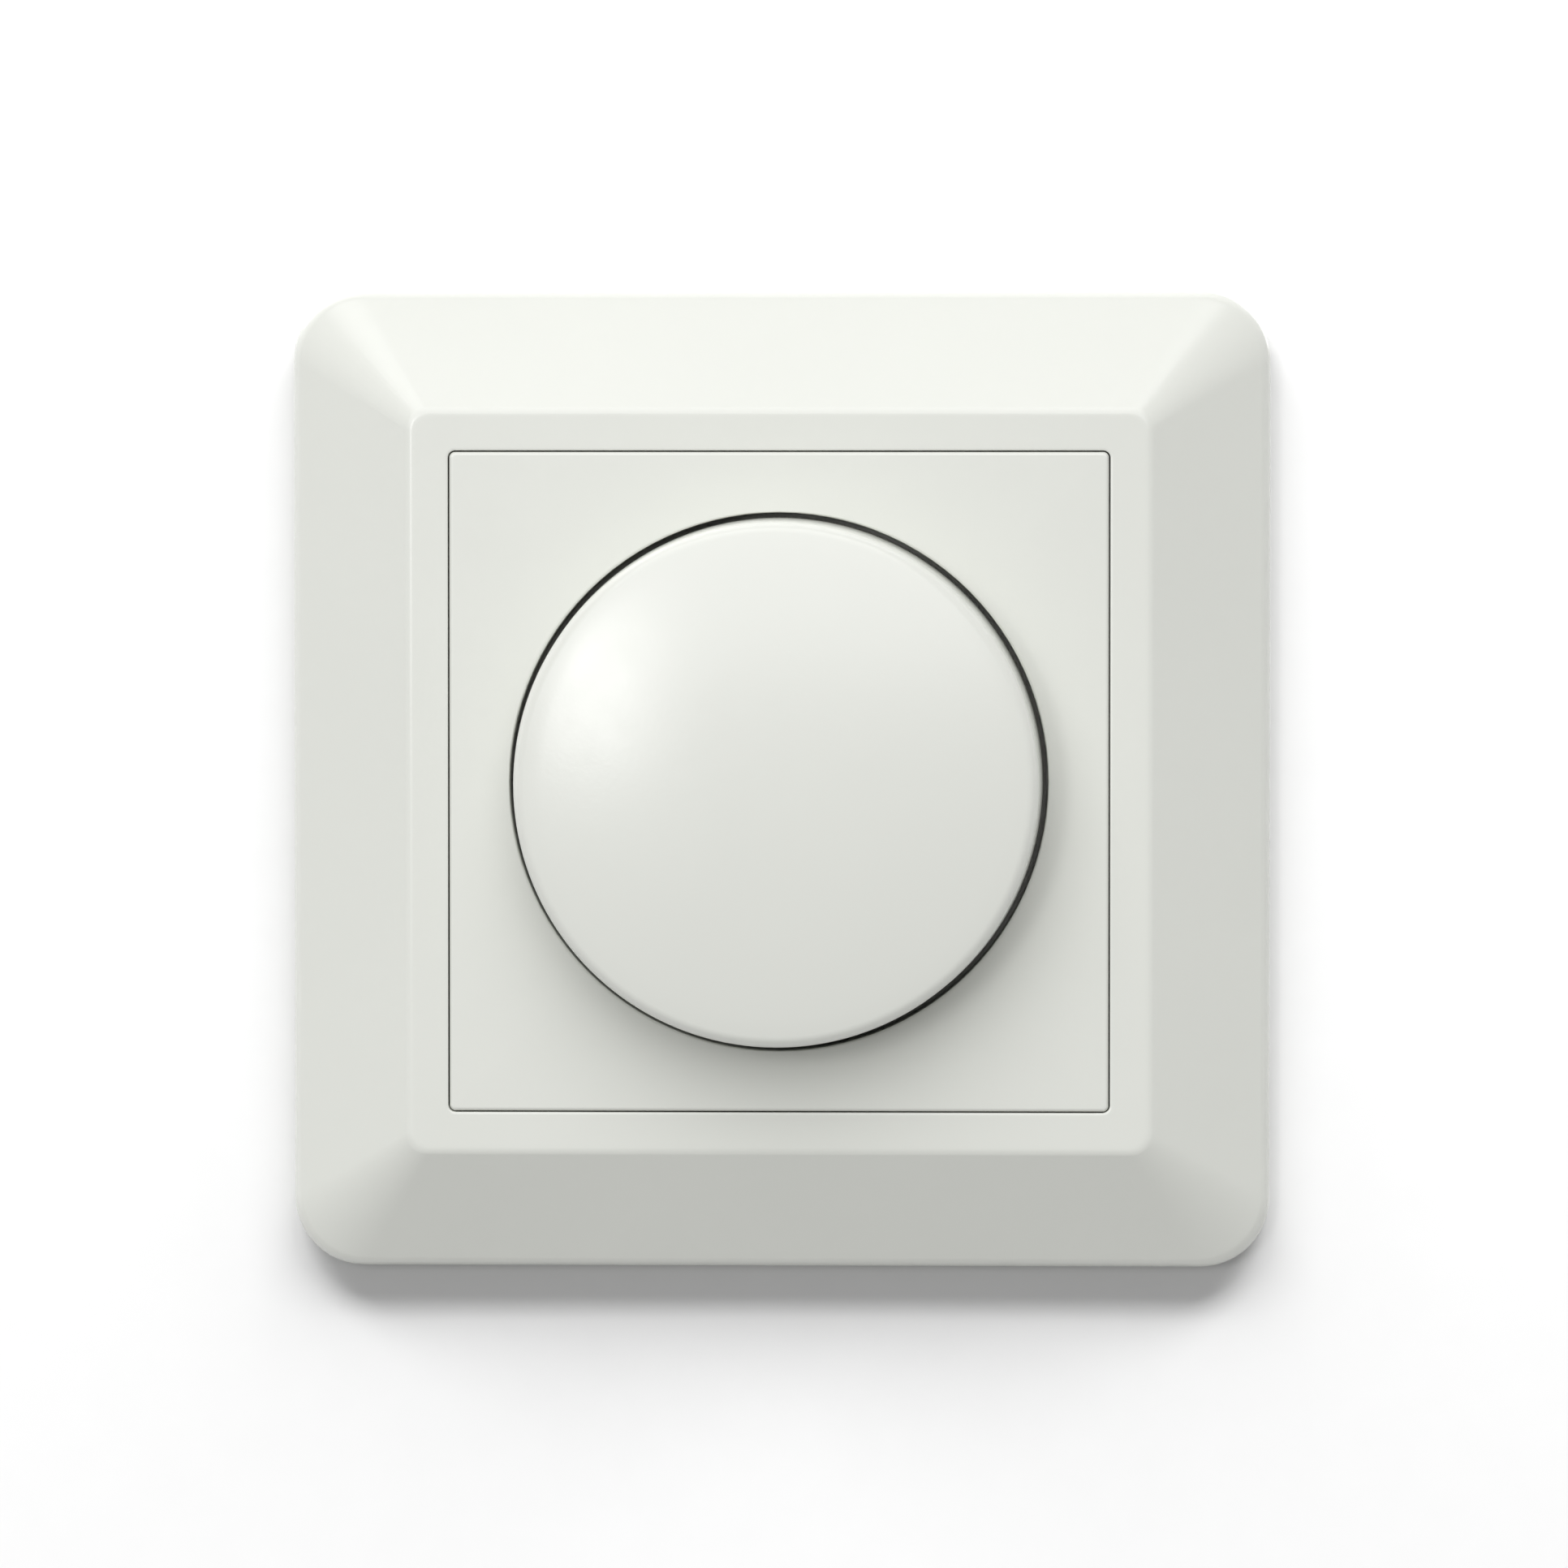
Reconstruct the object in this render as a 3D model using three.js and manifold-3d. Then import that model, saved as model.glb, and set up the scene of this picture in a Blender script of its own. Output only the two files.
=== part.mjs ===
// A rotary push dimmer for a flush wall box: a bevelled cover frame, a centre plate with a round well, a
// large knob that turns and pushes in, and the mechanism and circuit in a case behind the wall.
//
// Pieces are laid out face up: x is to the right, y is up the wall, and z is the height off the wall, so
// what lies in the wall box has a negative z. The last lines stand the whole assembly upright, with its
// face towards -Y and the wall's surface at Y = 0.

import * as THREE from "three";
import { mergeVertices } from "three/addons/utils/BufferGeometryUtils.js";
import Module from "manifold-3d";

const wasm = await Module();
wasm.setup();

// ---- Driving dimensions, in millimetres ----

const SEAT_GAP = 0.3; // between pieces that rest on each other or pass through each other
const OVERCUT = 1; // how far a cutting shape runs past the face that it cuts
const OVERLAP = 0.5; // how deep a joined shape runs into its neighbour
const REVEAL_GAP = 0.1; // visible line round the centre plate

const FRAME_DEPTH = 10;
const FRAME_CORNER = 5.8;
const FRAME_WALL = 2;
const SKIRT_HEIGHT = 2.2; // upright part of the frame's outer edge
const SHOULDER_WIDTH = 1.1; // rounded step from the skirt to the bevel
const SHOULDER_RISE = 1.5;
const BEVEL_WIDTH = 10.35; // from the outer edge to the ridge, seen from the front
const RIM_WIDTH = 3.05; // flat rim between the ridge and the window
const RIDGE_CORNER = 1.7;
const RIDGE_ROUNDING = 0.35;
const COLLAR_WALL = 1.6; // wall round the frame's window
const LEDGE_WIDTH = 1.85; // the centre plate stands on this ledge
const LEDGE_TOP = 6;
const LEDGE_THICKNESS = 1.5;

const PLATE_CORNER = 0.5;
const PLATE_EDGE = 0.35; // chamfer round the plate's face
const PLATE_THICKNESS = 1.8;
const PLATE_SKIRT = 1.5;
const WELL_MARGIN = 5.05; // from the well's edge to the plate's side
const KNOB_GAP = 0.4; // round the knob's base, in the well
const WELL_WALL = 1.2;
const WELL_FLOOR = 1.5; // thickness
const BOSS_RADIUS = 8; // under the well's floor, round the bush
const WELL_EDGE = 0.3;

const KNOB_RADIUS = 22.05; // at its base
const KNOB_DRAFT = 0.3; // how much narrower the knob is at its face
const KNOB_PROUD = 10; // height of the knob's face over the centre plate
const KNOB_DOME = 1.7; // rise of the face from its edge to its centre
const KNOB_ROUNDING = 1.1;
const KNOB_WALL = 1.8;
const KNOB_TRAVEL = 2; // how far the knob pushes in
const KNOB_FLOOR_ROOM = 0.6; // left under the knob when it is pushed in
const HUB_RADIUS = 5;
const HUB_SLOT = 1;
const HUB_SLOT_DEPTH = 4;
const CLIP_THICKNESS = 0.8;
const CLIP_HEIGHT = 2.5;
const CLIP_MOUTH = 40; // degrees
const RIB_COUNT = 6;
const RIB_THICKNESS = 1.2;
const RIB_DEPTH = 2;

const SHAFT_RADIUS = 3;
const SPLINE_TEETH = 18;
const SPLINE_DEPTH = 0.25;
const SPLINE_LENGTH = 7;
const SHAFT_FLAT = 2.1; // from the axis to the flat
const SHAFT_TAIL = 1; // how far the shaft reaches under the board
const SHAFT_GROOVE = 0.5; // depth of the circlip's groove
const CIRCLIP_WIDTH = 1.6;
const CIRCLIP_THICKNESS = 0.8;
const CIRCLIP_MOUTH = 70; // degrees
const BUSH_RADIUS = 5;
const BUSH_COLLAR_WIDTH = 2.4; // how far the bush's rear collar stands out
const BUSH_COLLAR = 1.5;
const NUT_WALL = 1.7; // thinnest wall, at the middle of a flat
const NUT_HEIGHT = 2.2;
const WASHER_WIDTH = 1.9;
const WASHER_TOOTH = 0.7;
const WASHER_THICKNESS = 0.6;
const WASHER_TEETH = 12;
const BUSH_OVER_NUT = 0.4;

const SUPPORT_INSET = 5.5; // from the frame's outer edge to the support plate's
const SUPPORT_CORNER = 4;
const SUPPORT_THICKNESS = 1.2;
const BOX_SCREW_SPACING = 60;
const BOX_SCREW_RADIUS = 1.6;
const BOX_SCREW_HEAD_RADIUS = 3.1;
const BOX_SCREW_HEAD_HEIGHT = 1.6;
const BOX_SCREW_LENGTH = 22;
const BOX_SLOT_LENGTH = 9;
const CORNER_HOLE_RADIUS = 1.7;
const CORNER_HOLE_INSET = 6.5; // from the support plate's edges
const SCREW_SLOT_WIDTH = 0.8;
const SCREW_SLOT_DEPTH = 0.7;

const CASE_HALF_WIDTH = 22.4; // from the axis to each of the case's four flats
const CASE_RADIUS = 27; // of the round corners between the flats
const CASE_DEPTH = 25; // behind the wall's surface
const CASE_WALL = 1.5;
const LID_THICKNESS = 1.8;
const LID_LIP = 2;
const LID_LIP_WALL = 1.2;
const POST_INSET = 5.1; // from the case's flats to the middle of each screw post
const POST_Y = 3;
const POST_RADIUS = 2.5;
const POST_FOOT_RADIUS = 3.2; // under the circuit board
const CASE_SCREW_RADIUS = 1.2;
const CASE_SCREW_HEAD_RADIUS = 2.4;
const CASE_SCREW_LENGTH = 9;
const CASE_SCREW_POINT = 1;

const BOARD_FACE = -9.4; // height of the board's front face
const BOARD_THICKNESS = 1.6;
const POT_HALF_WIDTH = 9;
const POT_WALL = 1.2;
const ROTOR_THICKNESS = 2.1;
const ROTOR_RADIUS = 7.2;
const WIPER_THICKNESS = 0.4;
const TRACK_THICKNESS = 0.5;
const TRACK_INNER_RADIUS = 4.4;
const TRACK_MOUTH = 60; // degrees
const WIPER_HALF_WIDTH = 1;
const SWITCH_HALF_WIDTH = 6;
const SWITCH_DEPTH = 9.2;
const SWITCH_WALL = 1.2;
const PLUNGER_STEM_RADIUS = 2.4;
const PLUNGER_STEM = 0.7;
const PLUNGER_FLANGE_RADIUS = 4.2;
const PLUNGER_FLANGE = 1;
const PLUNGER_SPIGOT_RADIUS = 2.1;
const PLUNGER_SPIGOT = 1.6;
const SPRING_RADIUS = 3;
const SPRING_WIRE = 0.5;
const SPRING_TURNS = 4;

const CLAW_PIVOT_HEIGHT = -8;
const CLAW_SCREW_OFFSET = 2.5; // from the claw's pin to its screw
const CLAW_SCREW_RADIUS = 1.5;
const CLAW_SCREW_HEAD_RADIUS = 2.3;
const CLAW_SCREW_HEAD_HEIGHT = 1.6;
const CLAW_SCREW_LENGTH = 20;
const CLAW_SWING = 25; // degrees
const CLAW_BARREL_RADIUS = 1.2;
const CLAW_PIN_RADIUS = 0.6;
const CLAW_HALF_WIDTH = 4;
const CLAW_SHEET = 0.9;
const CLAW_ARM_LENGTH = 13;
const CLAW_ARM_WIDTH = 2.4;
const CLAW_TOOTH = 1.2;
const CLAW_EAR = 1.5;

const SINK_HALF_LENGTH = 11;
const SINK_THICKNESS = 1.5;
const TRIAC_LENGTH = 15;
const TRIAC_WIDTH = 9.6;
const TRIAC_TAB = 1.2;
const TRIAC_BODY = 3;
const TRIAC_BODY_LENGTH = 9;
const RIVET_RADIUS = 1.3;
const RIVET_HEAD_RADIUS = 2.08;
const RIVET_HEAD = 0.6;

const CHOKE_RADIUS = 6;
const CHOKE_HEIGHT = 9;
const CHOKE_NECK_RADIUS = 2.5;
const CHOKE_FLANGE = 1.3;
const CHOKE_X = -11.8;
const CHOKE_Y = 13;
const FILM_LENGTH = 13;
const FILM_WIDTH = 5;
const FILM_HEIGHT = 10;
const FILM_X = 2.5;
const LEAD_RADIUS = 0.4;
const LEAD_REACH = 1.5; // of a lead past its part's end, or in from a capacitor's end
const FUSE_X = 5.3;
const FUSE_LENGTH = 20;
const FUSE_RADIUS = 2.2;
const FUSE_CAP_LENGTH = 4.5;
const FUSE_CAP_WALL = 0.3;
const FUSE_CLIP_WIDTH = 3;
const FUSE_CLIP_SHEET = 0.5;
const RESISTOR_X = -11;
const RESISTOR_Y = -5.4;
const RESISTOR_LENGTH = 6.3;
const RESISTOR_RADIUS = 1.25;
const DIAC_X = 9.6;
const DIAC_Y = -6.4;
const DIAC_LENGTH = 3.8;
const DIAC_RADIUS = 0.95;
const DISC_X = 14.6;
const DISC_Y = -6.4;
const DISC_RADIUS = 3.2;
const DISC_THICKNESS = 2.4;
const DISC_STAND = 1; // of the disc off the board
const AXIAL_STAND = 0.5; // of a lying part off the board

const TRIMMER_X = 13.4;
const TRIMMER_Y = -13;
const TRIMMER_HALF_WIDTH = 3.2;
const TRIMMER_BASE = 2.4;
const TRIMMER_RADIUS = 2.3;
const TRIMMER_ROTOR = 1.2;
const TRIMMER_ACCESS_RADIUS = 2.1;

const TERMINAL_COUNT = 3;
const TERMINAL_PITCH = 9.5;
const TERMINAL_HALF_WIDTH = 3.5;
const TERMINAL_LENGTH = 9.4; // along the wire
const TERMINAL_HEIGHT = 8.5; // along the screw
const CHAMBER_HALF_WIDTH = 2.3; // the space that the wire and the pressure plate share
const CHAMBER_HEIGHT = 4;
const TERMINAL_ROOF = 1.3;
const CLAMP_THICKNESS = 1.1;
const CLAMP_INSET = 1.5; // from the cage's ends
const TERMINAL_SCREW_RADIUS = 1.75;
const TERMINAL_SCREW_HEAD_RADIUS = 2.9;
const TERMINAL_SCREW_HEAD = 1.6;
const TERMINAL_SCREW_SHANK = 5.7;
const WIRE_HOLE_RADIUS = 1.9;

// ---- Heights and places that follow from them ----

const wellRadius = KNOB_RADIUS + KNOB_GAP;
const plateSide = 2 * (wellRadius + WELL_MARGIN);
const windowHalf = plateSide / 2 + REVEAL_GAP;
const frameSide = 2 * (windowHalf + RIM_WIDTH + BEVEL_WIDTH);
const supportSide = frameSide - 2 * SUPPORT_INSET;
const bossUnder = SUPPORT_THICKNESS + SEAT_GAP;
const screwHeadTop = bossUnder + Math.max(CLAW_SCREW_HEAD_HEIGHT, BOX_SCREW_HEAD_HEIGHT);
const wellFloorUnder = screwHeadTop + SEAT_GAP;
const wellFloorTop = wellFloorUnder + WELL_FLOOR;
const washerUnder = wellFloorTop + SEAT_GAP;
const nutUnder = washerUnder + WASHER_THICKNESS + SEAT_GAP;
const bushTop = nutUnder + NUT_HEIGHT + BUSH_OVER_NUT;
const bushHole = BUSH_RADIUS + SEAT_GAP;
const shaftHole = SHAFT_RADIUS + SEAT_GAP;
const knobTop = FRAME_DEPTH + KNOB_PROUD;
const knobUnder = wellFloorTop + KNOB_FLOOR_ROOM + KNOB_TRAVEL;
const capUnder = knobTop - KNOB_DOME - KNOB_WALL; // inside the knob, at its wall
const capMiddle = knobTop - KNOB_WALL; // inside the knob, at its hub
const hubUnder = bushTop + KNOB_FLOOR_ROOM + KNOB_TRAVEL;
const shaftTop = capMiddle - KNOB_FLOOR_ROOM;
const collarRadius = BUSH_RADIUS + BUSH_COLLAR_WIDTH;
const lidTop = -SEAT_GAP;
const lidUnder = lidTop - LID_THICKNESS;
const collarTop = -SEAT_GAP;
const collarUnder = collarTop - BUSH_COLLAR;
const circlipTop = collarUnder - SEAT_GAP;
const circlipUnder = circlipTop - CIRCLIP_THICKNESS;
const potTop = Math.min(lidUnder, collarUnder) - SEAT_GAP;
const potUnder = BOARD_FACE + SEAT_GAP;
const trackTop = potUnder + TRACK_THICKNESS;
const wiperUnder = trackTop + SEAT_GAP;
const wiperTop = wiperUnder + WIPER_THICKNESS;
const rotorUnder = wiperTop + SEAT_GAP;
const rotorTop = rotorUnder + ROTOR_THICKNESS;
const boardUnder = BOARD_FACE - BOARD_THICKNESS;
const underBoard = boardUnder - SEAT_GAP;
const overBoard = BOARD_FACE + SEAT_GAP;
const shaftEnd = underBoard - SHAFT_TAIL;
const plungerTop = shaftEnd - SEAT_GAP;
const flangeTop = plungerTop - PLUNGER_STEM;
const flangeUnder = flangeTop - PLUNGER_FLANGE;
const switchUnder = underBoard - SWITCH_DEPTH;
const caseBack = -CASE_DEPTH;
const caseFloor = caseBack + CASE_WALL;
const sinkTop = lidUnder - SEAT_GAP;
const sinkUnder = sinkTop - SINK_THICKNESS;
const lipReach = CASE_HALF_WIDTH - CASE_WALL - SEAT_GAP - LID_LIP_WALL;
const sinkLow = POT_HALF_WIDTH + SEAT_GAP;
const sinkHigh = lipReach - SEAT_GAP;
const sinkMiddle = (sinkLow + sinkHigh) / 2;
const rivetX = -TRIAC_LENGTH / 2 + RIVET_RADIUS * 2;
const postX = CASE_HALF_WIDTH - POST_INSET;
const clawPivot = CASE_HALF_WIDTH + SEAT_GAP + CLAW_BARREL_RADIUS;
const clawScrewX = clawPivot + CLAW_SCREW_OFFSET;
const fuseCapRadius = FUSE_RADIUS + SEAT_GAP + FUSE_CAP_WALL;
const fuseHeight = underBoard - FUSE_CLIP_SHEET - SEAT_GAP - fuseCapRadius;
const fuseClipReach = fuseCapRadius + SEAT_GAP + FUSE_CLIP_SHEET;
const fuseY = SWITCH_HALF_WIDTH + SEAT_GAP + fuseClipReach;
const filmY = fuseY + fuseClipReach + SEAT_GAP + FILM_WIDTH / 2;
const terminalFloor = -(CASE_HALF_WIDTH - CASE_WALL - SEAT_GAP);
const terminalBack = caseFloor + SEAT_GAP;
const terminalMiddle = terminalBack + TERMINAL_LENGTH / 2;
const chamberTop = terminalFloor + TERMINAL_HEIGHT - TERMINAL_ROOF;
const chamberFloor = chamberTop - CHAMBER_HEIGHT;
const clampLow = chamberFloor + SEAT_GAP / 2;
const clampTop = clampLow + CLAMP_THICKNESS;

// ---- Shapes ----

const WELL_SIDES = 56; // facets round the knob and its well
const BUSH_SIDES = 32;
const SCREW_SIDES = 20;
const LEAD_SIDES = 10;
const DOME_STEPS = 4;
const EDGE_STEPS = 4;

function solidOf(geometry) {
  const loose = geometry.index ? geometry.toNonIndexed() : geometry;
  const bare = new THREE.BufferGeometry();
  bare.setAttribute("position", loose.getAttribute("position"));
  const merged = mergeVertices(bare, 1e-4);
  return new wasm.Manifold(
    new wasm.Mesh({
      numProp: 3,
      vertProperties: new Float32Array(merged.attributes.position.array),
      triVerts: new Uint32Array(merged.index.array),
    }),
  );
}

function joined(...solids) {
  return solids.reduce((sum, next) => sum.add(next));
}

function cut(solid, ...tools) {
  return tools.reduce((rest, tool) => rest.subtract(tool), solid);
}

function slab(shape, low, high, x = 0, y = 0) {
  const options = { depth: high - low, bevelEnabled: false, curveSegments: 6 };
  const geometry = new THREE.ExtrudeGeometry(shape, options);
  return solidOf(geometry.translate(x, y, low));
}

function block(left, right, bottom, top, low, high) {
  const geometry = new THREE.BoxGeometry(right - left, top - bottom, high - low);
  return solidOf(geometry.translate((left + right) / 2, (bottom + top) / 2, (low + high) / 2));
}

function rod(radius, low, high, x = 0, y = 0, sides = 20) {
  const geometry = new THREE.CylinderGeometry(radius, radius, high - low, sides);
  return solidOf(geometry.rotateX(Math.PI / 2).translate(x, y, (low + high) / 2));
}

// A round bar that lies along x or along y.
function barAlongX(radius, left, right, y, z, sides = 16) {
  const geometry = new THREE.CylinderGeometry(radius, radius, right - left, sides);
  return solidOf(geometry.rotateZ(Math.PI / 2).translate((left + right) / 2, y, z));
}

function barAlongY(radius, bottom, top, x, z, sides = 16) {
  const geometry = new THREE.CylinderGeometry(radius, radius, top - bottom, sides);
  return solidOf(geometry.translate(x, (bottom + top) / 2, z));
}

// A profile of [radius, height] points, turned about the z axis.
function turned(profile, sides = 48) {
  const points = profile.map(([radius, height]) => new THREE.Vector2(radius, height));
  return solidOf(new THREE.LatheGeometry(points, sides).rotateX(Math.PI / 2));
}

function roundedSquare(side, corner) {
  const half = side / 2;
  const shape = new THREE.Shape();
  for (let quarter = 0; quarter < 4; quarter++) {
    const start = (quarter * Math.PI) / 2;
    const signX = quarter === 0 || quarter === 3 ? 1 : -1;
    const signY = quarter < 2 ? 1 : -1;
    shape.absarc(signX * (half - corner), signY * (half - corner), corner, start, start + Math.PI / 2);
  }
  return shape.closePath();
}

// A square ring whose wall follows a closed profile of [half side, corner radius, height] points.
function squareTurned(profile, cornerSteps = 6) {
  const perRing = 4 * (cornerSteps + 1);
  const positions = [];
  for (const [half, corner, height] of profile) {
    for (let i = 0; i < perRing; i++) {
      const quarter = Math.floor(i / (cornerSteps + 1));
      const step = i % (cornerSteps + 1);
      const angle = ((quarter + step / cornerSteps) * Math.PI) / 2;
      const signX = quarter === 0 || quarter === 3 ? 1 : -1;
      const signY = quarter < 2 ? 1 : -1;
      const x = signX * (half - corner) + corner * Math.cos(angle);
      const y = signY * (half - corner) + corner * Math.sin(angle);
      positions.push(x, y, height);
    }
  }
  const index = [];
  for (let ring = 0; ring < profile.length; ring++) {
    const next = (ring + 1) % profile.length;
    for (let i = 0; i < perRing; i++) {
      const j = (i + 1) % perRing;
      const [a, b] = [ring * perRing + i, ring * perRing + j];
      const [c, d] = [next * perRing + i, next * perRing + j];
      index.push(a, b, d, a, d, c);
    }
  }
  const geometry = new THREE.BufferGeometry();
  geometry.setAttribute("position", new THREE.Float32BufferAttribute(positions, 3));
  geometry.setIndex(index);
  return solidOf(geometry);
}

// Points of a quarter turn in a profile, from one angle to another, in degrees.
function arcPoints(centreR, centreZ, radius, from, to, steps) {
  const points = [];
  for (let i = 0; i <= steps; i++) {
    const angle = THREE.MathUtils.degToRad(from + ((to - from) * i) / steps);
    points.push([centreR + radius * Math.cos(angle), centreZ + radius * Math.sin(angle)]);
  }
  return points;
}

// An open ring: a band between two radii with a mouth of the given angle, in degrees, facing down.
function openRing(inner, outer, mouth) {
  const half = THREE.MathUtils.degToRad(mouth / 2);
  const start = -Math.PI / 2 + half;
  const end = (3 * Math.PI) / 2 - half;
  const shape = new THREE.Shape();
  shape.absarc(0, 0, outer, start, end, false);
  shape.absarc(0, 0, inner, end, start, true);
  return shape.closePath();
}

// The case's outline: four flats joined by round corners, drawn in from the outside by an inset.
function caseOutline(inset) {
  const half = CASE_HALF_WIDTH - inset;
  const radius = CASE_RADIUS - inset;
  const flatAngle = Math.acos(half / radius);
  const shape = new THREE.Shape();
  for (let quarter = 0; quarter < 4; quarter++) {
    const start = (quarter * Math.PI) / 2;
    shape.absarc(0, 0, radius, start + flatAngle, start + Math.PI / 2 - flatAngle, false);
  }
  return shape.closePath();
}

function polygon(points) {
  return new THREE.Shape(points.map(([x, y]) => new THREE.Vector2(x, y)));
}

// A straight driver slot in the top of a screw whose axis is z.
function driverSlot(radius, top, x, y) {
  const reach = radius + SEAT_GAP;
  const half = SCREW_SLOT_WIDTH / 2;
  return block(x - reach, x + reach, y - half, y + half, top - SCREW_SLOT_DEPTH, top + SEAT_GAP);
}

function panScrew(radius, headRadius, headHeight, length, x, y, headUnder) {
  const top = headUnder + headHeight;
  const profile = [
    [0, headUnder - length],
    [radius * 0.5, headUnder - length],
    [radius, headUnder - length + radius],
    [radius, headUnder],
    [headRadius, headUnder],
    [headRadius, top - headHeight * 0.45],
    [headRadius * 0.7, top],
    [0, top],
  ];
  const body = turned(profile, SCREW_SIDES).translate([x, y, 0]);
  return cut(body, driverSlot(headRadius, top, x, y));
}

// ---- Finishes ----

function finish(color, roughness, metalness = 0) {
  return new THREE.MeshStandardMaterial({ color, roughness, metalness });
}

const whitePlastic = finish(0xe6e7e1, 0.38);
const blackPlastic = finish(0x1c1d1f, 0.5);
const greyPlastic = finish(0x6d7174, 0.5);
const ivoryPlastic = finish(0xcfc9b4, 0.5);
const zincSteel = finish(0xaeb2b5, 0.35, 0.9);
const brightSteel = finish(0xc9ccce, 0.25, 0.95);
const brass = finish(0xc3a055, 0.3, 0.9);
const aluminium = finish(0xc2c5c8, 0.4, 0.9);
const copper = finish(0xb06a3a, 0.35, 0.85);
const ferrite = finish(0x35363a, 0.8);
const boardGreen = finish(0x2c6a45, 0.45);
const phenolic = finish(0x6b4a2d, 0.6);
const glass = finish(0xdfe6e8, 0.05);
const capacitorYellow = finish(0xc9a23c, 0.45);
const ceramicOrange = finish(0xb4622c, 0.5);
const resistorBlue = finish(0x8fa9bd, 0.5);
const diacBlue = finish(0x2f4c86, 0.4);

const dimmer = new THREE.Group();

function addPiece(name, solid, material) {
  const result = solid.getMesh();
  const geometry = new THREE.BufferGeometry();
  const stride = result.numProp;
  const corners = [];
  for (let i = 0; i < result.vertProperties.length; i += stride) {
    corners.push(result.vertProperties[i], result.vertProperties[i + 1], result.vertProperties[i + 2]);
  }
  geometry.setAttribute("position", new THREE.Float32BufferAttribute(corners, 3));
  geometry.setIndex([...result.triVerts]);
  geometry.computeVertexNormals();
  const mesh = new THREE.Mesh(geometry, material);
  mesh.name = name;
  dimmer.add(mesh);
}

// ---- Cover frame and centre plate ----

// The outer face climbs from the skirt over a rounded shoulder, up the bevel to the ridge, and crosses the
// flat rim to the window. The inner face follows it a wall's thickness below.
function coverFrame() {
  const half = frameSide / 2;
  const ridgeHalf = half - BEVEL_WIDTH;
  const shoulderTop = SKIRT_HEIGHT + SHOULDER_RISE;
  const ledgeUnder = LEDGE_TOP - LEDGE_THICKNESS;
  const ledgeHalf = windowHalf - LEDGE_WIDTH;
  const collarHalf = windowHalf + COLLAR_WALL;
  const slope = (FRAME_DEPTH - shoulderTop) / (BEVEL_WIDTH - SHOULDER_WIDTH);
  const innerTop = FRAME_DEPTH - FRAME_WALL;
  const outerCorner = (inset) => THREE.MathUtils.lerp(FRAME_CORNER, RIDGE_CORNER, inset / BEVEL_WIDTH);
  const profile = [
    [half, FRAME_CORNER, 0],
    [half, FRAME_CORNER, SKIRT_HEIGHT],
  ];
  for (const degrees of [25, 50, 72]) {
    const angle = THREE.MathUtils.degToRad(degrees);
    const inset = SHOULDER_WIDTH * (1 - Math.cos(angle));
    profile.push([half - inset, outerCorner(inset), SKIRT_HEIGHT + SHOULDER_RISE * Math.sin(angle)]);
  }
  const rounding = RIDGE_ROUNDING;
  profile.push(
    [half - SHOULDER_WIDTH, outerCorner(SHOULDER_WIDTH), shoulderTop],
    [ridgeHalf + rounding, outerCorner(BEVEL_WIDTH - rounding), FRAME_DEPTH - slope * rounding],
    [ridgeHalf, RIDGE_CORNER, FRAME_DEPTH - (slope * rounding) / 4],
    [ridgeHalf - rounding, RIDGE_CORNER - rounding, FRAME_DEPTH],
    [windowHalf, PLATE_CORNER + REVEAL_GAP, FRAME_DEPTH],
    [windowHalf, PLATE_CORNER + REVEAL_GAP, LEDGE_TOP],
    [ledgeHalf, PLATE_CORNER, LEDGE_TOP],
    [ledgeHalf, PLATE_CORNER, ledgeUnder],
    [collarHalf, PLATE_CORNER + COLLAR_WALL, ledgeUnder],
    [collarHalf, PLATE_CORNER + COLLAR_WALL, innerTop],
    [half - FRAME_WALL - SHOULDER_WIDTH, FRAME_CORNER - FRAME_WALL, SKIRT_HEIGHT],
    [half - FRAME_WALL, FRAME_CORNER - FRAME_WALL, 0],
  );
  return squareTurned(profile);
}

function centrePlate() {
  const half = plateSide / 2;
  const innerHalf = half - PLATE_SKIRT;
  const foot = LEDGE_TOP + SEAT_GAP;
  const wellOuter = wellRadius + WELL_WALL;
  const skirt = squareTurned([
    [half, PLATE_CORNER, foot],
    [half, PLATE_CORNER, FRAME_DEPTH - PLATE_EDGE],
    [half - PLATE_EDGE, PLATE_CORNER, FRAME_DEPTH],
    [innerHalf, PLATE_CORNER, FRAME_DEPTH],
    [innerHalf, PLATE_CORNER, foot],
  ]);
  const face = slab(
    roundedSquare(plateSide - PLATE_SKIRT, PLATE_CORNER),
    FRAME_DEPTH - PLATE_THICKNESS,
    FRAME_DEPTH,
  );
  const tube = rod(wellOuter, wellFloorUnder, FRAME_DEPTH, 0, 0, WELL_SIDES);
  const boss = rod(BOSS_RADIUS, bossUnder, wellFloorTop);
  const well = turned(
    [
      [0, wellFloorTop],
      [wellRadius, wellFloorTop],
      [wellRadius, FRAME_DEPTH - WELL_EDGE],
      [wellRadius + WELL_EDGE, FRAME_DEPTH],
      [wellRadius + WELL_EDGE, FRAME_DEPTH + OVERCUT],
      [0, FRAME_DEPTH + OVERCUT],
    ],
    WELL_SIDES,
  );
  const bushOpening = rod(bushHole, 0, wellFloorTop + OVERCUT);
  const trimmerOpening = rod(TRIMMER_ACCESS_RADIUS, 0, wellFloorTop + OVERCUT, TRIMMER_X, TRIMMER_Y);
  return cut(joined(skirt, face, tube, boss), well, bushOpening, trimmerOpening);
}

addPiece("cover_frame", coverFrame(), whitePlastic);
addPiece("centre_plate", centrePlate(), whitePlastic);

// ---- Knob and shaft ----

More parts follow.
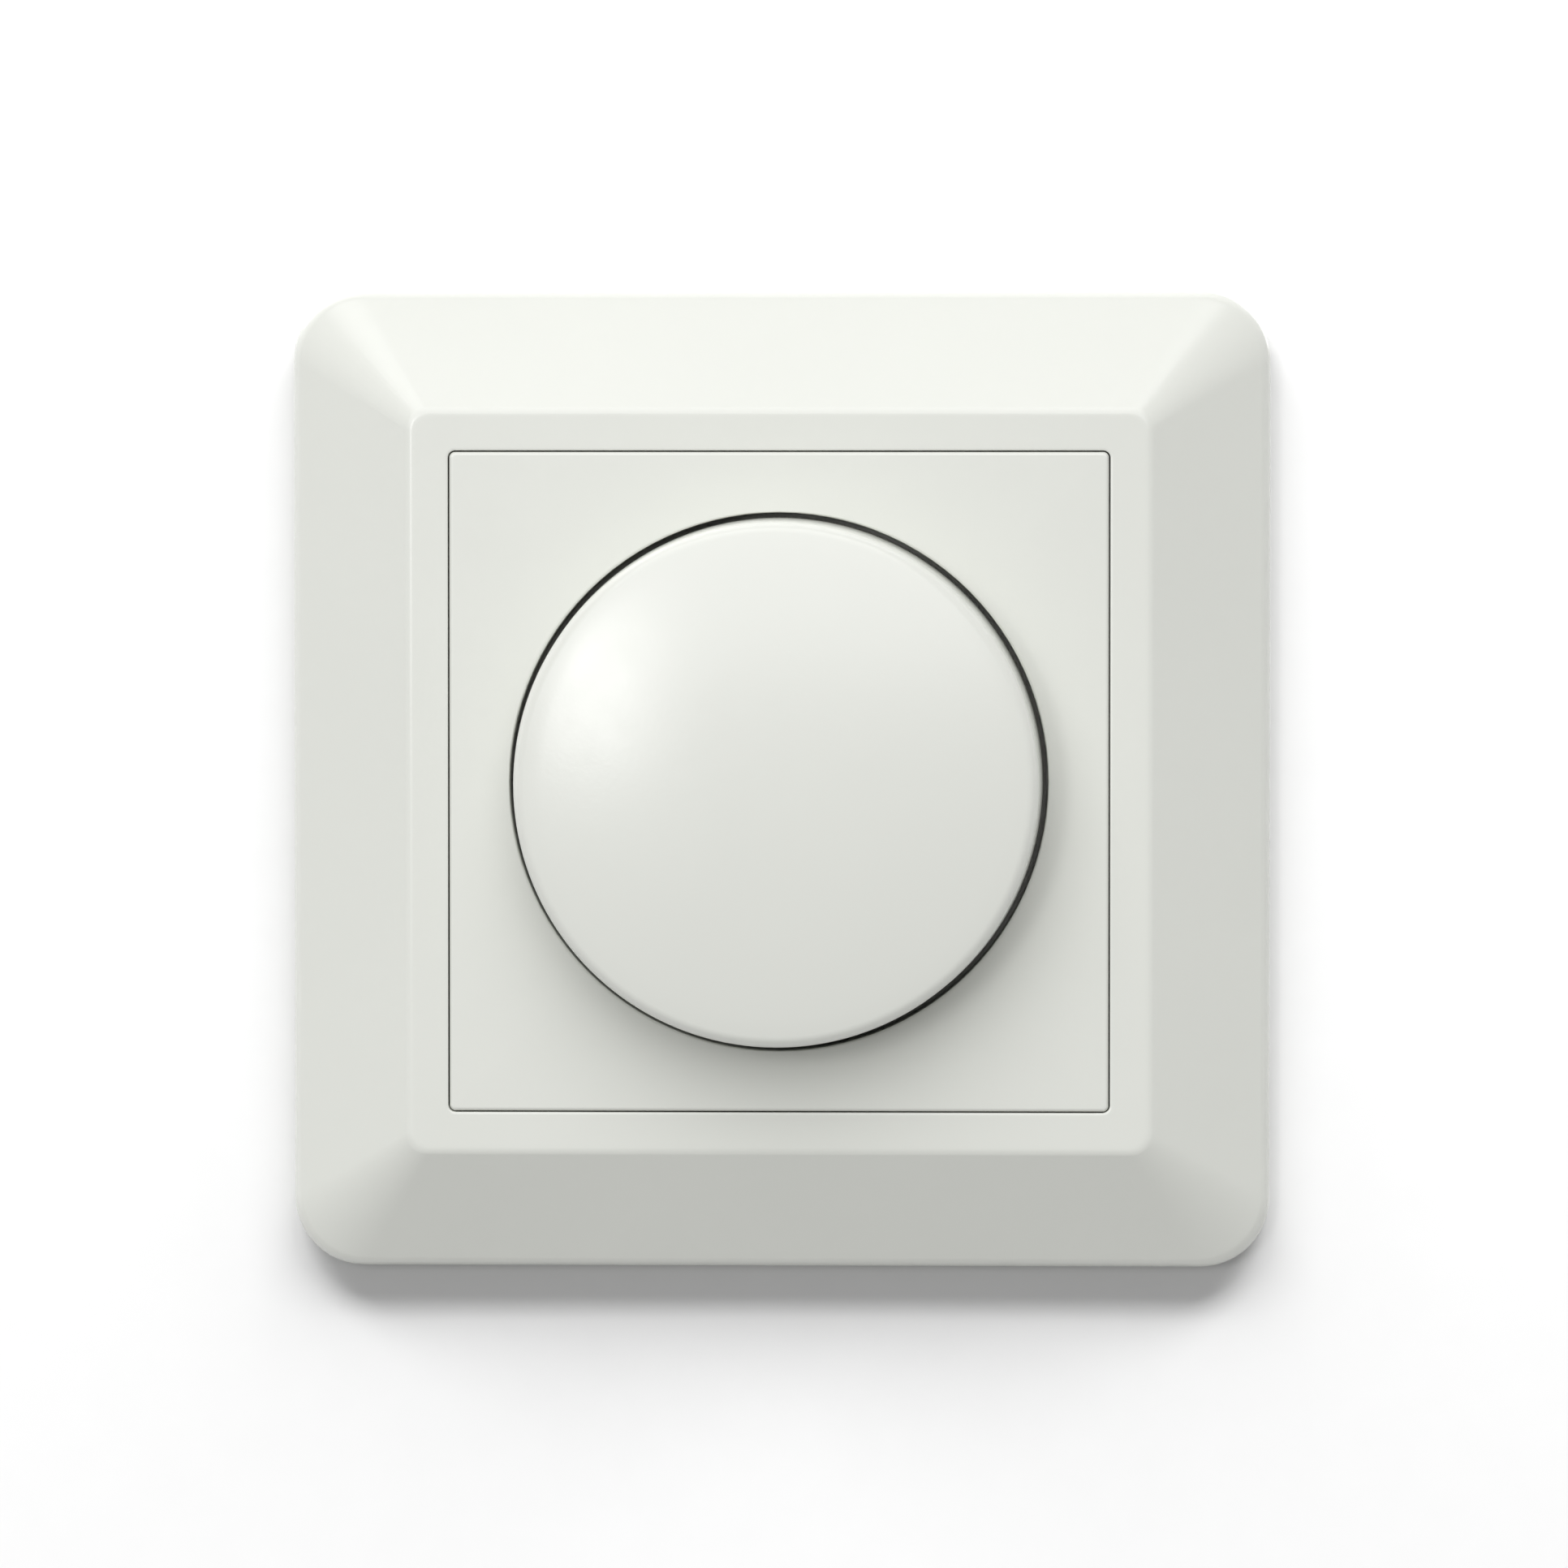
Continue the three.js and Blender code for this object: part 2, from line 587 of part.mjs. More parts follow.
function knob() {
  const dome = [];
  const faceRadius = KNOB_RADIUS - KNOB_DRAFT;
  const domeRadius = faceRadius - KNOB_ROUNDING;
  for (let i = 0; i < DOME_STEPS; i++) {
    const share = i / DOME_STEPS;
    dome.push([domeRadius * share, knobTop - KNOB_DOME * share * share]);
  }
  const edgeTop = knobTop - KNOB_DOME;
  const edge = arcPoints(domeRadius, edgeTop - KNOB_ROUNDING, KNOB_ROUNDING, 90, 0, EDGE_STEPS);
  const innerRadius = faceRadius - KNOB_WALL;
  const profile = [
    ...dome,
    ...edge,
    [KNOB_RADIUS, knobUnder],
    [KNOB_RADIUS - KNOB_WALL, knobUnder],
    [innerRadius, capUnder],
    [HUB_RADIUS, capMiddle],
    [HUB_RADIUS, hubUnder],
    [shaftHole, hubUnder],
    [shaftHole, shaftTop + SEAT_GAP],
    [0, shaftTop + SEAT_GAP],
  ];
  let body = turned(profile.reverse(), WELL_SIDES);
  const ribInner = HUB_RADIUS - RIB_THICKNESS;
  const ribOuter = innerRadius + KNOB_WALL / 2;
  for (let i = 0; i < RIB_COUNT; i++) {
    const rib = new THREE.BoxGeometry(ribOuter - ribInner, RIB_THICKNESS, RIB_DEPTH + OVERLAP);
    rib.translate((ribOuter + ribInner) / 2, 0, capUnder - (RIB_DEPTH - OVERLAP) / 2);
    rib.rotateZ((i * 2 * Math.PI) / RIB_COUNT);
    body = body.add(solidOf(rib));
  }
  const reach = HUB_RADIUS + SEAT_GAP;
  const half = HUB_SLOT / 2;
  const slotLow = hubUnder - OVERCUT;
  const slotTop = hubUnder + HUB_SLOT_DEPTH;
  return cut(
    body,
    rod(shaftHole, slotLow, shaftTop + SEAT_GAP),
    block(-reach, reach, -half, half, slotLow, slotTop),
    block(-half, half, -reach, reach, slotLow, slotTop),
  );
}

function knobClip() {
  const inner = HUB_RADIUS + SEAT_GAP;
  const low = hubUnder + SEAT_GAP;
  return slab(openRing(inner, inner + CLIP_THICKNESS, CLIP_MOUTH), low, low + CLIP_HEIGHT);
}

function splinedSection() {
  const points = [];
  for (let i = 0; i < SPLINE_TEETH * 2; i++) {
    const radius = i % 2 ? SHAFT_RADIUS - SPLINE_DEPTH : SHAFT_RADIUS;
    const angle = (i * Math.PI) / SPLINE_TEETH;
    points.push([radius * Math.cos(angle), radius * Math.sin(angle)]);
  }
  return slab(polygon(points), shaftTop - SPLINE_LENGTH, shaftTop);
}

function shaft() {
  const grooveRadius = SHAFT_RADIUS - SHAFT_GROOVE;
  const grooveLow = circlipUnder - SEAT_GAP / 2;
  const grooveHigh = circlipTop + SEAT_GAP / 2;
  const body = joined(
    splinedSection(),
    rod(SHAFT_RADIUS, grooveHigh, shaftTop - SPLINE_LENGTH + OVERLAP),
    rod(grooveRadius, grooveLow - OVERLAP, grooveHigh + OVERLAP),
    rod(SHAFT_RADIUS, shaftEnd, grooveLow),
  );
  const reach = SHAFT_RADIUS + OVERCUT;
  return cut(body, block(SHAFT_FLAT, reach, -reach, reach, shaftEnd - OVERCUT, grooveLow));
}

function shaftCirclip() {
  const inner = SHAFT_RADIUS - SHAFT_GROOVE + SEAT_GAP / 2;
  return slab(openRing(inner, inner + CIRCLIP_WIDTH, CIRCLIP_MOUTH), circlipUnder, circlipTop);
}

addPiece("knob", knob(), whitePlastic);
addPiece("knob_clip", knobClip(), brightSteel);
addPiece("shaft", shaft(), greyPlastic);
addPiece("shaft_circlip", shaftCirclip(), brightSteel);

// ---- Bush, nut and washer ----

function potBush() {
  const body = joined(
    rod(BUSH_RADIUS, collarUnder, bushTop, 0, 0, BUSH_SIDES),
    rod(collarRadius, collarUnder, collarTop, 0, 0, BUSH_SIDES),
  );
  return cut(body, rod(shaftHole, collarUnder - OVERCUT, bushTop + OVERCUT));
}

function retainingNut() {
  const circumradius = (bushHole + NUT_WALL) / Math.cos(Math.PI / 6);
  return cut(
    rod(circumradius, nutUnder, nutUnder + NUT_HEIGHT, 0, 0, 6),
    rod(bushHole, nutUnder - OVERCUT, nutUnder + NUT_HEIGHT + OVERCUT),
  );
}

function lockWasher() {
  const points = [];
  for (let i = 0; i < WASHER_TEETH * 4; i++) {
    const radius = bushHole + WASHER_WIDTH - (i % 4 < 2 ? 0 : WASHER_TOOTH);
    const angle = (i * Math.PI) / (WASHER_TEETH * 2);
    points.push([radius * Math.cos(angle), radius * Math.sin(angle)]);
  }
  return cut(
    slab(polygon(points), washerUnder, washerUnder + WASHER_THICKNESS),
    rod(bushHole, washerUnder - OVERCUT, washerUnder + WASHER_THICKNESS + OVERCUT),
  );
}

addPiece("pot_bush", potBush(), brass);
addPiece("retaining_nut", retainingNut(), zincSteel);
addPiece("lock_washer", lockWasher(), brightSteel);

// ---- Support plate and its screws ----

function boxSlot(y) {
  const radius = BOX_SCREW_RADIUS + SEAT_GAP;
  const reach = BOX_SLOT_LENGTH / 2 - radius;
  const low = -OVERCUT;
  const high = SUPPORT_THICKNESS + OVERCUT;
  return joined(
    rod(radius, low, high, -reach, y),
    rod(radius, low, high, reach, y),
    block(-reach, reach, y - radius, y + radius, low, high),
  );
}

function countersink(x, y) {
  const radius = CASE_SCREW_RADIUS + SEAT_GAP;
  const headRadius = CASE_SCREW_HEAD_RADIUS + SEAT_GAP;
  const profile = [
    [0, -OVERCUT],
    [radius, -OVERCUT],
    [radius, 0],
    [headRadius, SUPPORT_THICKNESS],
    [headRadius, SUPPORT_THICKNESS + OVERCUT],
    [0, SUPPORT_THICKNESS + OVERCUT],
  ];
  return turned(profile, SCREW_SIDES).translate([x, y, 0]);
}

function supportPlate() {
  const through = [-OVERCUT, SUPPORT_THICKNESS + OVERCUT];
  const corner = supportSide / 2 - CORNER_HOLE_INSET;
  let plate = slab(roundedSquare(supportSide, SUPPORT_CORNER), 0, SUPPORT_THICKNESS);
  for (const side of [-1, 1]) {
    plate = cut(
      plate,
      boxSlot((side * BOX_SCREW_SPACING) / 2),
      rod(CLAW_SCREW_RADIUS + SEAT_GAP, ...through, side * clawScrewX, 0),
      countersink(side * postX, POST_Y),
      rod(CORNER_HOLE_RADIUS, ...through, side * corner, corner),
      rod(CORNER_HOLE_RADIUS, ...through, side * corner, -corner),
    );
  }
  return cut(
    plate,
    rod(bushHole, ...through),
    rod(TRIMMER_ACCESS_RADIUS, ...through, TRIMMER_X, TRIMMER_Y),
  );
}

function boxScrew(y) {
  const headUnder = SUPPORT_THICKNESS + SEAT_GAP;
  const headRadius = BOX_SCREW_HEAD_RADIUS;
  const headHeight = BOX_SCREW_HEAD_HEIGHT;
  return panScrew(BOX_SCREW_RADIUS, headRadius, headHeight, BOX_SCREW_LENGTH, 0, y, headUnder);
}

function caseScrew(x) {
  const top = SUPPORT_THICKNESS;
  const profile = [
    [0, top - CASE_SCREW_LENGTH],
    [CASE_SCREW_RADIUS, top - CASE_SCREW_LENGTH + CASE_SCREW_POINT],
    [CASE_SCREW_RADIUS, 0],
    [CASE_SCREW_HEAD_RADIUS, top],
    [0, top],
  ];
  const body = turned(profile, SCREW_SIDES).translate([x, POST_Y, 0]);
  return cut(body, driverSlot(CASE_SCREW_HEAD_RADIUS, top, x, POST_Y));
}

addPiece("support_plate", supportPlate(), zincSteel);
addPiece("box_screw_top", boxScrew(BOX_SCREW_SPACING / 2), brightSteel);
addPiece("box_screw_bottom", boxScrew(-BOX_SCREW_SPACING / 2), brightSteel);
addPiece("housing_screw_left", caseScrew(-postX), brightSteel);
addPiece("housing_screw_right", caseScrew(postX), brightSteel);

// ---- Case ----

function terminalX(number) {
  return (number - (TERMINAL_COUNT - 1) / 2) * TERMINAL_PITCH;
}

// Two ears on one side of the case, which carry a claw's pin.
function clawEars(side) {
  const inner = CLAW_HALF_WIDTH + SEAT_GAP;
  const outer = inner + CLAW_EAR;
  const reach = clawPivot + CLAW_BARREL_RADIUS;
  const low = CLAW_PIVOT_HEIGHT - CLAW_BARREL_RADIUS;
  const high = CLAW_PIVOT_HEIGHT + CLAW_BARREL_RADIUS;
  const root = CASE_HALF_WIDTH - OVERLAP;
  const left = side < 0 ? -reach : root;
  const right = side < 0 ? -root : reach;
  const ears = joined(
    block(left, right, inner, outer, low, high),
    block(left, right, -outer, -inner, low, high),
  );
  const bore = CLAW_PIN_RADIUS + SEAT_GAP / 2;
  const boreEnd = outer + OVERCUT;
  return cut(ears, barAlongY(bore, -boreEnd, boreEnd, side * clawPivot, CLAW_PIVOT_HEIGHT));
}

function housingBase() {
  const top = lidUnder - SEAT_GAP;
  const room = slab(caseOutline(CASE_WALL), caseFloor, top + OVERCUT);
  let base = cut(slab(caseOutline(0), caseBack, top), room);
  for (const side of [-1, 1]) {
    const post = joined(
      rod(POST_FOOT_RADIUS, caseFloor - OVERLAP, underBoard, side * postX, POST_Y),
      rod(POST_RADIUS, caseFloor - OVERLAP, lidUnder - SEAT_GAP, side * postX, POST_Y),
    );
    const screwDepth = SUPPORT_THICKNESS - CASE_SCREW_LENGTH - SEAT_GAP;
    const bore = rod(CASE_SCREW_RADIUS + SEAT_GAP, screwDepth, top + OVERCUT, side * postX, POST_Y);
    base = cut(joined(base, post, clawEars(side)), bore);
  }
  for (let i = 0; i < TERMINAL_COUNT; i++) {
    const x = terminalX(i);
    const headHole = TERMINAL_SCREW_HEAD_RADIUS + SEAT_GAP;
    const wireY = (clampTop + chamberTop) / 2;
    base = cut(
      base,
      barAlongY(headHole, -CASE_HALF_WIDTH - OVERCUT, terminalFloor, x, terminalMiddle, SCREW_SIDES),
      rod(WIRE_HOLE_RADIUS, caseBack - OVERCUT, caseFloor + OVERCUT, x, wireY),
    );
  }
  return base;
}

function housingLid() {
  const lipOuter = CASE_WALL + SEAT_GAP;
  const lipLow = lidUnder - LID_LIP;
  const lipTop = lidUnder + OVERLAP;
  const lip = cut(
    slab(caseOutline(lipOuter), lipLow, lipTop),
    slab(caseOutline(lipOuter + LID_LIP_WALL), lipLow - OVERCUT, lipTop + OVERCUT),
  );
  let lid = joined(slab(caseOutline(0), lidUnder, lidTop), lip);
  for (const side of [-1, 1]) {
    const x = side * postX;
    lid = cut(
      lid,
      rod(CASE_SCREW_RADIUS + SEAT_GAP, lidUnder - OVERCUT, lidTop + OVERCUT, x, POST_Y),
      rod(POST_RADIUS + SEAT_GAP, lipLow - OVERCUT, lidUnder, x, POST_Y),
    );
  }
  return cut(
    lid,
    rod(collarRadius + SEAT_GAP, lidUnder - OVERCUT, lidTop + OVERCUT, 0, 0, BUSH_SIDES),
    rod(TRIMMER_ACCESS_RADIUS, lidUnder - OVERCUT, lidTop + OVERCUT, TRIMMER_X, TRIMMER_Y),
  );
}

addPiece("housing_base", housingBase(), blackPlastic);
addPiece("housing_lid", housingLid(), greyPlastic);

// ---- Spreading claws ----

// The claw hangs on its pin: a bridge reaches out past the screw, and two arms run back beside it to
// toothed ends. It is made for the right side and mirrored for the left.
function claw(side) {
  const pivot = clawPivot;
  const height = CLAW_PIVOT_HEIGHT;
  const tilt = THREE.MathUtils.degToRad(CLAW_SWING);
  const slotHalf = CLAW_SCREW_RADIUS + SEAT_GAP;
  const tiltRoom = (CLAW_SHEET / 2) * Math.sin(tilt);
  const slotInner = CLAW_SCREW_OFFSET - slotHalf - tiltRoom;
  const slotOuter = (CLAW_SCREW_OFFSET + slotHalf + tiltRoom) / Math.cos(tilt);
  const reach = slotOuter + CLAW_SHEET;
  const half = CLAW_HALF_WIDTH;
  const armInner = slotHalf + SEAT_GAP;
  const armEnd = height - CLAW_ARM_LENGTH;
  const barrel = barAlongY(CLAW_BARREL_RADIUS, -half, half, pivot, height);
  const underSheet = height - CLAW_SHEET / 2;
  const bridge = block(pivot, pivot + reach, -half, half, underSheet, underSheet + CLAW_SHEET);
  const armShape = polygon([
    [pivot + reach - CLAW_ARM_WIDTH, height],
    [pivot + reach - CLAW_ARM_WIDTH, armEnd],
    [pivot + reach, armEnd],
    [pivot + reach - CLAW_TOOTH, armEnd + CLAW_TOOTH],
    [pivot + reach, armEnd + CLAW_TOOTH * 1.6],
    [pivot + reach - CLAW_TOOTH, armEnd + CLAW_TOOTH * 2.6],
    [pivot + reach - CLAW_TOOTH / 2, height],
  ]);
  const arm = (low, high) => {
    const options = { depth: high - low, bevelEnabled: false };
    const geometry = new THREE.ExtrudeGeometry(armShape, options);
    return solidOf(geometry.rotateX(Math.PI / 2).translate(0, high, 0));
  };
  const [left, right] = [pivot + slotInner, pivot + slotOuter];
  const opening = block(left, right, -slotHalf, slotHalf, height - 2 * OVERCUT, height + 2 * OVERCUT);
  const pinHole = barAlongY(CLAW_PIN_RADIUS + SEAT_GAP / 2, -half - OVERCUT, half + OVERCUT, pivot, height);
  const made = cut(joined(barrel, bridge, arm(-half, -armInner), arm(armInner, half)), opening, pinHole);
  return side > 0 ? made : made.mirror([1, 0, 0]);
}

for (const [name, side] of [["left", -1], ["right", 1]]) {
  const headUnder = SUPPORT_THICKNESS + SEAT_GAP;
  const headRadius = CLAW_SCREW_HEAD_RADIUS;
  const headHeight = CLAW_SCREW_HEAD_HEIGHT;
  const x = side * clawScrewX;
  const screw = panScrew(CLAW_SCREW_RADIUS, headRadius, headHeight, CLAW_SCREW_LENGTH, x, 0, headUnder);
  const pinReach = CLAW_HALF_WIDTH + SEAT_GAP + CLAW_EAR;
  addPiece(`claw_${name}`, claw(side), zincSteel);
  addPiece(`claw_screw_${name}`, screw, brightSteel);
  addPiece(
    `claw_pin_${name}`,
    barAlongY(CLAW_PIN_RADIUS, -pinReach, pinReach, side * clawPivot, CLAW_PIVOT_HEIGHT, 12),
    brightSteel,
  );
}

// ---- Circuit board, potentiometer and push switch ----

function circuitBoard() {
  let board = slab(caseOutline(CASE_WALL + SEAT_GAP), boardUnder, BOARD_FACE);
  const through = [boardUnder - OVERCUT, BOARD_FACE + OVERCUT];
  for (const side of [-1, 1]) {
    board = cut(board, rod(POST_RADIUS + SEAT_GAP, ...through, side * postX, POST_Y));
  }
  return cut(board, rod(shaftHole, ...through));
}

function potCase() {
  const half = POT_HALF_WIDTH;
  const cavity = half - POT_WALL;
  const cavityTop = potTop - POT_WALL;
  return cut(
    block(-half, half, -half, half, potUnder, potTop),
    rod(cavity, potUnder - OVERCUT, cavityTop, 0, 0, BUSH_SIDES),
    rod(SHAFT_RADIUS + CIRCLIP_WIDTH + SEAT_GAP, cavityTop - OVERCUT, potTop + OVERCUT),
  );
}

function potTrack() {
  const outer = POT_HALF_WIDTH - POT_WALL - SEAT_GAP;
  return slab(openRing(TRACK_INNER_RADIUS, outer, TRACK_MOUTH), potUnder, trackTop);
}

// A bore with one flat, which the shaft slides through and turns.
function shaftBore(low, high) {
  const flat = SHAFT_FLAT + SEAT_GAP / 2;
  const reach = shaftHole + OVERCUT;
  return cut(rod(shaftHole, low, high), block(flat, reach, -reach, reach, low - OVERCUT, high + OVERCUT));
}

function potRotor() {
  const disc = rod(ROTOR_RADIUS, rotorUnder, rotorTop, 0, 0, BUSH_SIDES);
  return cut(disc, shaftBore(rotorUnder - OVERCUT, rotorTop + OVERCUT));
}

function potWiper() {
  const ring = rod(TRACK_INNER_RADIUS, wiperUnder, wiperTop, 0, 0, BUSH_SIDES);
  const half = WIPER_HALF_WIDTH;
  const finger = block(-half, half, 0, ROTOR_RADIUS - half / 2, wiperUnder, wiperTop);
  return cut(joined(ring, finger), rod(shaftHole, wiperUnder - OVERCUT, wiperTop + OVERCUT));
}

function switchCase() {
  const half = SWITCH_HALF_WIDTH;
  const cavity = PLUNGER_FLANGE_RADIUS + SEAT_GAP;
  return cut(
    block(-half, half, -half, half, switchUnder, underBoard),
    rod(cavity, switchUnder + SWITCH_WALL, underBoard - SWITCH_WALL),
    rod(shaftHole, underBoard - SWITCH_WALL - OVERCUT, underBoard + OVERCUT),
  );
}

function switchPlunger() {
  return turned([
    [0, flangeUnder - PLUNGER_SPIGOT],
    [PLUNGER_SPIGOT_RADIUS, flangeUnder - PLUNGER_SPIGOT],
    [PLUNGER_SPIGOT_RADIUS, flangeUnder],
    [PLUNGER_FLANGE_RADIUS, flangeUnder],
    [PLUNGER_FLANGE_RADIUS, flangeTop],
    [PLUNGER_STEM_RADIUS, flangeTop],
    [PLUNGER_STEM_RADIUS, plungerTop],
    [0, plungerTop],
  ], BUSH_SIDES);
}

function returnSpring() {
  class Helix extends THREE.Curve {
    getPoint(share, target = new THREE.Vector3()) {
      const angle = share * SPRING_TURNS * 2 * Math.PI;
      const low = switchUnder + SWITCH_WALL + SEAT_GAP + SPRING_WIRE / 2;
      const high = flangeUnder - SEAT_GAP - SPRING_WIRE / 2;
      const height = THREE.MathUtils.lerp(low, high, share);
      return target.set(SPRING_RADIUS * Math.cos(angle), SPRING_RADIUS * Math.sin(angle), height);
    }
  }
  const section = new THREE.Shape().absarc(0, 0, SPRING_WIRE / 2, 0, 2 * Math.PI);
  const options = {
    extrudePath: new Helix(),
    steps: SPRING_TURNS * 10,
    curveSegments: 3,
    bevelEnabled: false,
  };
  return solidOf(new THREE.ExtrudeGeometry(section, options));
}

addPiece("circuit_board", circuitBoard(), boardGreen);
addPiece("pot_case", potCase(), blackPlastic);
addPiece("pot_track", potTrack(), phenolic);
addPiece("pot_rotor", potRotor(), ivoryPlastic);
addPiece("pot_wiper", potWiper(), brass);
addPiece("switch_case", switchCase(), blackPlastic);
addPiece("switch_plunger", switchPlunger(), ivoryPlastic);
addPiece("return_spring", returnSpring(), brightSteel);

// ---- Heat sink and triac ----

function heatSink() {
  return cut(
    block(-SINK_HALF_LENGTH, SINK_HALF_LENGTH, sinkLow, sinkHigh, sinkUnder, sinkTop),
    rod(RIVET_RADIUS + SEAT_GAP, sinkUnder - OVERCUT, sinkTop + OVERCUT, rivetX, sinkMiddle),
  );
}

function triac() {
  const left = -TRIAC_LENGTH / 2;
  const tabTop = sinkUnder - SEAT_GAP;
  const tabUnder = tabTop - TRIAC_TAB;
  const low = sinkMiddle - TRIAC_WIDTH / 2;
  const high = low + TRIAC_WIDTH;
  const bodyLeft = left + TRIAC_LENGTH - TRIAC_BODY_LENGTH;
  const body = block(bodyLeft, -left, low, high, tabTop - TRIAC_BODY, tabTop);
  const tab = block(left, -left, low, high, tabUnder, tabTop);
  const hole = rod(RIVET_RADIUS + SEAT_GAP, tabUnder - OVERCUT, tabTop + OVERCUT, rivetX, sinkMiddle);
  return cut(joined(tab, body), hole);
}

function triacRivet() {
  const headTop = sinkUnder - 2 * SEAT_GAP - TRIAC_TAB;
  return joined(
    rod(RIVET_RADIUS, headTop - OVERLAP, sinkTop, rivetX, sinkMiddle),
    rod(RIVET_HEAD_RADIUS, headTop - RIVET_HEAD, headTop, rivetX, sinkMiddle),
  );
}

addPiece("heat_sink", heatSink(), aluminium);
addPiece("triac", triac(), blackPlastic);
addPiece("triac_rivet", triacRivet(), aluminium);

// ---- Parts on the back of the board ----

function chokeCore() {
  const top = underBoard;
  const low = top - CHOKE_HEIGHT;
  return turned([
    [0, low],
    [CHOKE_RADIUS, low],
    [CHOKE_RADIUS, low + CHOKE_FLANGE],
    [CHOKE_NECK_RADIUS, low + CHOKE_FLANGE],
    [CHOKE_NECK_RADIUS, top - CHOKE_FLANGE],
    [CHOKE_RADIUS, top - CHOKE_FLANGE],
    [CHOKE_RADIUS, top],
    [0, top],
  ], BUSH_SIDES).translate([CHOKE_X, CHOKE_Y, 0]);
}

function chokeWinding() {
  const high = underBoard - CHOKE_FLANGE - SEAT_GAP;
  const low = underBoard - CHOKE_HEIGHT + CHOKE_FLANGE + SEAT_GAP;
  const bore = CHOKE_NECK_RADIUS + SEAT_GAP;
  return cut(
    rod(CHOKE_RADIUS - 2 * SEAT_GAP, low, high, CHOKE_X, CHOKE_Y, BUSH_SIDES),
    rod(bore, low - OVERCUT, high + OVERCUT, CHOKE_X, CHOKE_Y, BUSH_SIDES),
  );
}

function boxCapacitor() {
  const left = FILM_X - FILM_LENGTH / 2;
  const right = left + FILM_LENGTH;
  const side = filmY - FILM_WIDTH / 2;
  const top = underBoard - SEAT_GAP;
  return joined(
    block(left, right, side, side + FILM_WIDTH, top - FILM_HEIGHT, top),
    rod(LEAD_RADIUS, top - OVERLAP, underBoard, left + LEAD_REACH, filmY, LEAD_SIDES),
    rod(LEAD_RADIUS, top - OVERLAP, underBoard, right - LEAD_REACH, filmY, LEAD_SIDES),
  );
}

// A small round part that lies along the board on two bent leads.
function axialPart(x, y, length, radius) {
  const z = underBoard - radius - AXIAL_STAND;
  const reach = length / 2 + LEAD_REACH;
  return joined(
    barAlongY(radius, y - length / 2, y + length / 2, x, z),
    barAlongY(LEAD_RADIUS, y - reach, y + reach, x, z, LEAD_SIDES),
    rod(LEAD_RADIUS, z, underBoard, x, y - reach + LEAD_RADIUS, LEAD_SIDES),
    rod(LEAD_RADIUS, z, underBoard, x, y + reach - LEAD_RADIUS, LEAD_SIDES),
  );
}

function discCapacitor() {
  const z = underBoard - DISC_RADIUS - DISC_STAND;
  const half = DISC_THICKNESS / 2;
  return joined(
    barAlongY(DISC_RADIUS, DISC_Y - half, DISC_Y + half, DISC_X, z, SCREW_SIDES),
    rod(LEAD_RADIUS, z, underBoard, DISC_X - DISC_RADIUS / 2, DISC_Y, LEAD_SIDES),
    rod(LEAD_RADIUS, z, underBoard, DISC_X + DISC_RADIUS / 2, DISC_Y, LEAD_SIDES),
  );
}

function fuseCap(side) {
  const outerEnd = FUSE_X + side * (FUSE_LENGTH / 2 + SEAT_GAP + FUSE_CAP_WALL);
  const innerEnd = outerEnd - side * FUSE_CAP_LENGTH;
  const left = Math.min(innerEnd, outerEnd);
  const right = left + FUSE_CAP_LENGTH;
  const shift = side * FUSE_CAP_WALL;
  return cut(
    barAlongX(fuseCapRadius, left, right, fuseY, fuseHeight),
    barAlongX(FUSE_RADIUS + SEAT_GAP, left - shift, right - shift, fuseY, fuseHeight),
  );
}

// A sheet clip: a foot on the board and two cheeks beside the fuse's cap.
function fuseClip(side) {
  const middle = FUSE_X + side * (FUSE_LENGTH / 2 - FUSE_CAP_LENGTH / 2);
  const left = middle - FUSE_CLIP_WIDTH / 2;
  const right = left + FUSE_CLIP_WIDTH;
  const inner = fuseCapRadius + SEAT_GAP;
  const outer = fuseClipReach;
  const footLow = underBoard - FUSE_CLIP_SHEET;
  const cheekLow = fuseHeight - fuseCapRadius * 0.7;
  return joined(
    block(left, right, fuseY - outer, fuseY + outer, footLow, underBoard),
    block(left, right, fuseY + inner, fuseY + outer, cheekLow, underBoard),
    block(left, right, fuseY - outer, fuseY - inner, cheekLow, underBoard),
  );
}

addPiece("choke_core", chokeCore(), ferrite);
addPiece("choke_winding", chokeWinding(), copper);
addPiece("film_capacitor", boxCapacitor(), capacitorYellow);
addPiece("resistor", axialPart(RESISTOR_X, RESISTOR_Y, RESISTOR_LENGTH, RESISTOR_RADIUS), resistorBlue);
addPiece("diac", axialPart(DIAC_X, DIAC_Y, DIAC_LENGTH, DIAC_RADIUS), diacBlue);
addPiece("small_capacitor", discCapacitor(), ceramicOrange);
const fuseLeft = FUSE_X - FUSE_LENGTH / 2;
const fuseTube = barAlongX(FUSE_RADIUS, fuseLeft, fuseLeft + FUSE_LENGTH, fuseY, fuseHeight);
addPiece("fuse_tube", fuseTube, glass);
for (const [name, side] of [["left", -1], ["right", 1]]) {
  addPiece(`fuse_cap_${name}`, fuseCap(side), brightSteel);
  addPiece(`fuse_clip_${name}`, fuseClip(side), brass);
}

// ---- Trimmer for the lowest brightness ----

function trimmerBase() {
  const half = TRIMMER_HALF_WIDTH;
  const left = TRIMMER_X - half;
  const low = TRIMMER_Y - half;
  return block(left, left + 2 * half, low, low + 2 * half, overBoard, overBoard + TRIMMER_BASE);
}

function trimmerRotor() {
  const low = overBoard + TRIMMER_BASE + SEAT_GAP;
  const top = low + TRIMMER_ROTOR;
  const disc = rod(TRIMMER_RADIUS, low, top, TRIMMER_X, TRIMMER_Y);
  return cut(disc, driverSlot(TRIMMER_RADIUS, top, TRIMMER_X, TRIMMER_Y));
}

